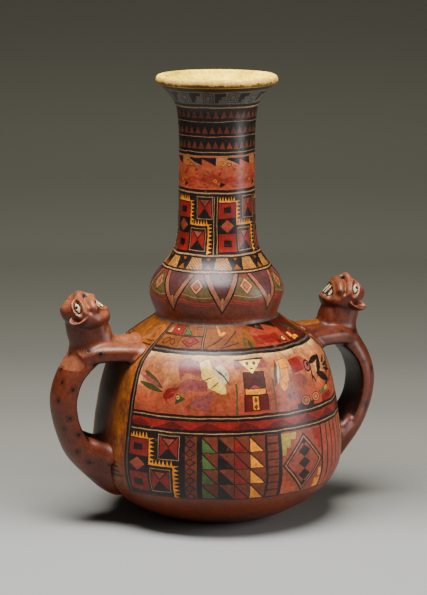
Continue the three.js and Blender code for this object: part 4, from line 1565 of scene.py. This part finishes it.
# %% Stage
# The sweep's colour by the way along it from the bottle, in metres: painted shade, darker away from the
# lights
SWEEP_SHADE_TONES = [
    (-2.0, (0.32, 0.319, 0.303)), (-0.1, (0.32, 0.319, 0.303)), (0.05, (0.214, 0.208, 0.183)),
    (0.2, (0.192, 0.187, 0.159)), (0.34, (0.164, 0.158, 0.132)), (0.54, (0.132, 0.127, 0.105)),
    (0.8, (0.128, 0.122, 0.098)), (1.08, (0.134, 0.128, 0.099)), (1.3, (0.102, 0.097, 0.074)),
    (1.6, (0.068, 0.063, 0.049)),
]
SWEEP_FRONT, SWEEP_BEND, SWEEP_RADIUS, SWEEP_HALF = -6.0, 1.0, 0.6, 6.0
SWEEP_RISE, SWEEP_STEPS = math.radians(58), 24
SWEEP_DULLNESS, SWEEP_SHEEN = 0.9, 0.1


def sweep_path():
    """Flat, then up along part of a circle, just high enough to fill the picture, as way back and height."""
    bend = np.linspace(0, SWEEP_RISE, SWEEP_STEPS)
    turn = SWEEP_RADIUS * np.stack([np.sin(bend), 1 - np.cos(bend)], axis=1)
    return np.vstack([[(SWEEP_FRONT, 0)], (SWEEP_BEND, 0) + turn])


def sweep():
    """The path carried sideways and turned to face the camera, with the way along it as its own UV map."""
    path = sweep_path()
    along = SWEEP_FRONT + np.concatenate([[0], np.cumsum(np.linalg.norm(np.diff(path, axis=0), axis=1))])
    side = np.array([-SWEEP_HALF, SWEEP_HALF])
    cosine, sine = math.cos(VIEW_TURN), math.sin(VIEW_TURN)
    depth, rise = path[:, :1], path[:, 1:]
    x, y = side * cosine - depth * sine, side * sine + depth * cosine
    grid = np.stack(np.broadcast_arrays(x, y, rise), axis=-1)
    here = np.arange(grid[..., 0].size).reshape(grid.shape[:2])
    faces = np.stack([here[:-1, :-1], here[:-1, 1:], here[1:, 1:], here[1:, :-1]], axis=-1).reshape(-1, 4)
    mesh = bpy.data.meshes.new("sweep")
    mesh.from_pydata(grid.reshape(-1, 3).tolist(), [], faces.tolist())
    ways = np.repeat(along, 2)[faces.ravel()]
    mesh.uv_layers.new(name="way").data.foreach_set("uv", np.stack([ways, ways], axis=1).ravel())
    mesh.shade_smooth()
    sheet = bpy.data.objects.new("sweep", mesh)
    bpy.context.scene.collection.objects.link(sheet)
    return sheet


def sweep_material():
    """A dull sheet that darkens along its way by a smooth ramp, painted shade for the light falling off."""
    material = bpy.data.materials.new("sweep")
    material.use_nodes = True
    tree = material.node_tree
    way = tree.nodes.new("ShaderNodeUVMap")
    way.uv_map = "way"
    place = split(tree, way.outputs[0])[0]
    start, end = SWEEP_SHADE_TONES[0][0], SWEEP_SHADE_TONES[-1][0]
    ramp = tree.nodes.new("ShaderNodeValToRGB")
    ramp.color_ramp.interpolation = "EASE"
    plug(tree, (place - start) * (1 / (end - start)), ramp.inputs[0])
    set_stops(ramp.color_ramp, [((at - start) / (end - start), (*tone, 1)) for at, tone in SWEEP_SHADE_TONES])
    shader = tree.nodes["Principled BSDF"]
    plug(tree, ramp.outputs["Color"], shader.inputs["Base Color"])
    shader.inputs["Roughness"].default_value = SWEEP_DULLNESS
    shader.inputs["Specular IOR Level"].default_value = SWEEP_SHEEN
    return material


backdrop = sweep()
backdrop.data.materials.append(sweep_material())
print("sweep faces", len(backdrop.data.polygons))

# %% Lights
# Place, what it looks at, width and height, all in metres, and watts
SOFT_BOXES = {
    "top": ((-0.22, -0.24, 1.3), (0, 0, 0.1), (0.95, 0.55), 47),
    "right": ((1.0, -0.75, 0.4), (0, 0, 0.15), (0.4, 0.8), 11),
    "left": ((-1.2, -0.8, 0.7), (0, 0, 0.15), (0.8, 0.8), 0.8),
}
ROOM_GREY = 0.015


def soft_box(name, place, aim, size, watts):
    """A rectangular area light at a place, turned to look at a point."""
    data = bpy.data.lights.new(name, "AREA")
    data.shape = "RECTANGLE"
    data.size, data.size_y = size
    data.energy = watts
    lamp = bpy.data.objects.new(name, data)
    bpy.context.scene.collection.objects.link(lamp)
    lamp.location = place
    lamp.rotation_euler = (Vector(aim) - Vector(place)).to_track_quat("-Z", "Y").to_euler()


for name, values in SOFT_BOXES.items():
    soft_box(name, *values)
world = bpy.data.worlds.new("studio")
bpy.context.scene.world = world
world.use_nodes = True
world.node_tree.nodes["Background"].inputs["Color"].default_value = (ROOM_GREY,) * 3 + (1,)
print("lights", len(SOFT_BOXES))

# %% Attach the pieces and hide the imported bottle
for piece in (bottle, *cats):
    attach(piece, "root")
    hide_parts("bottle")
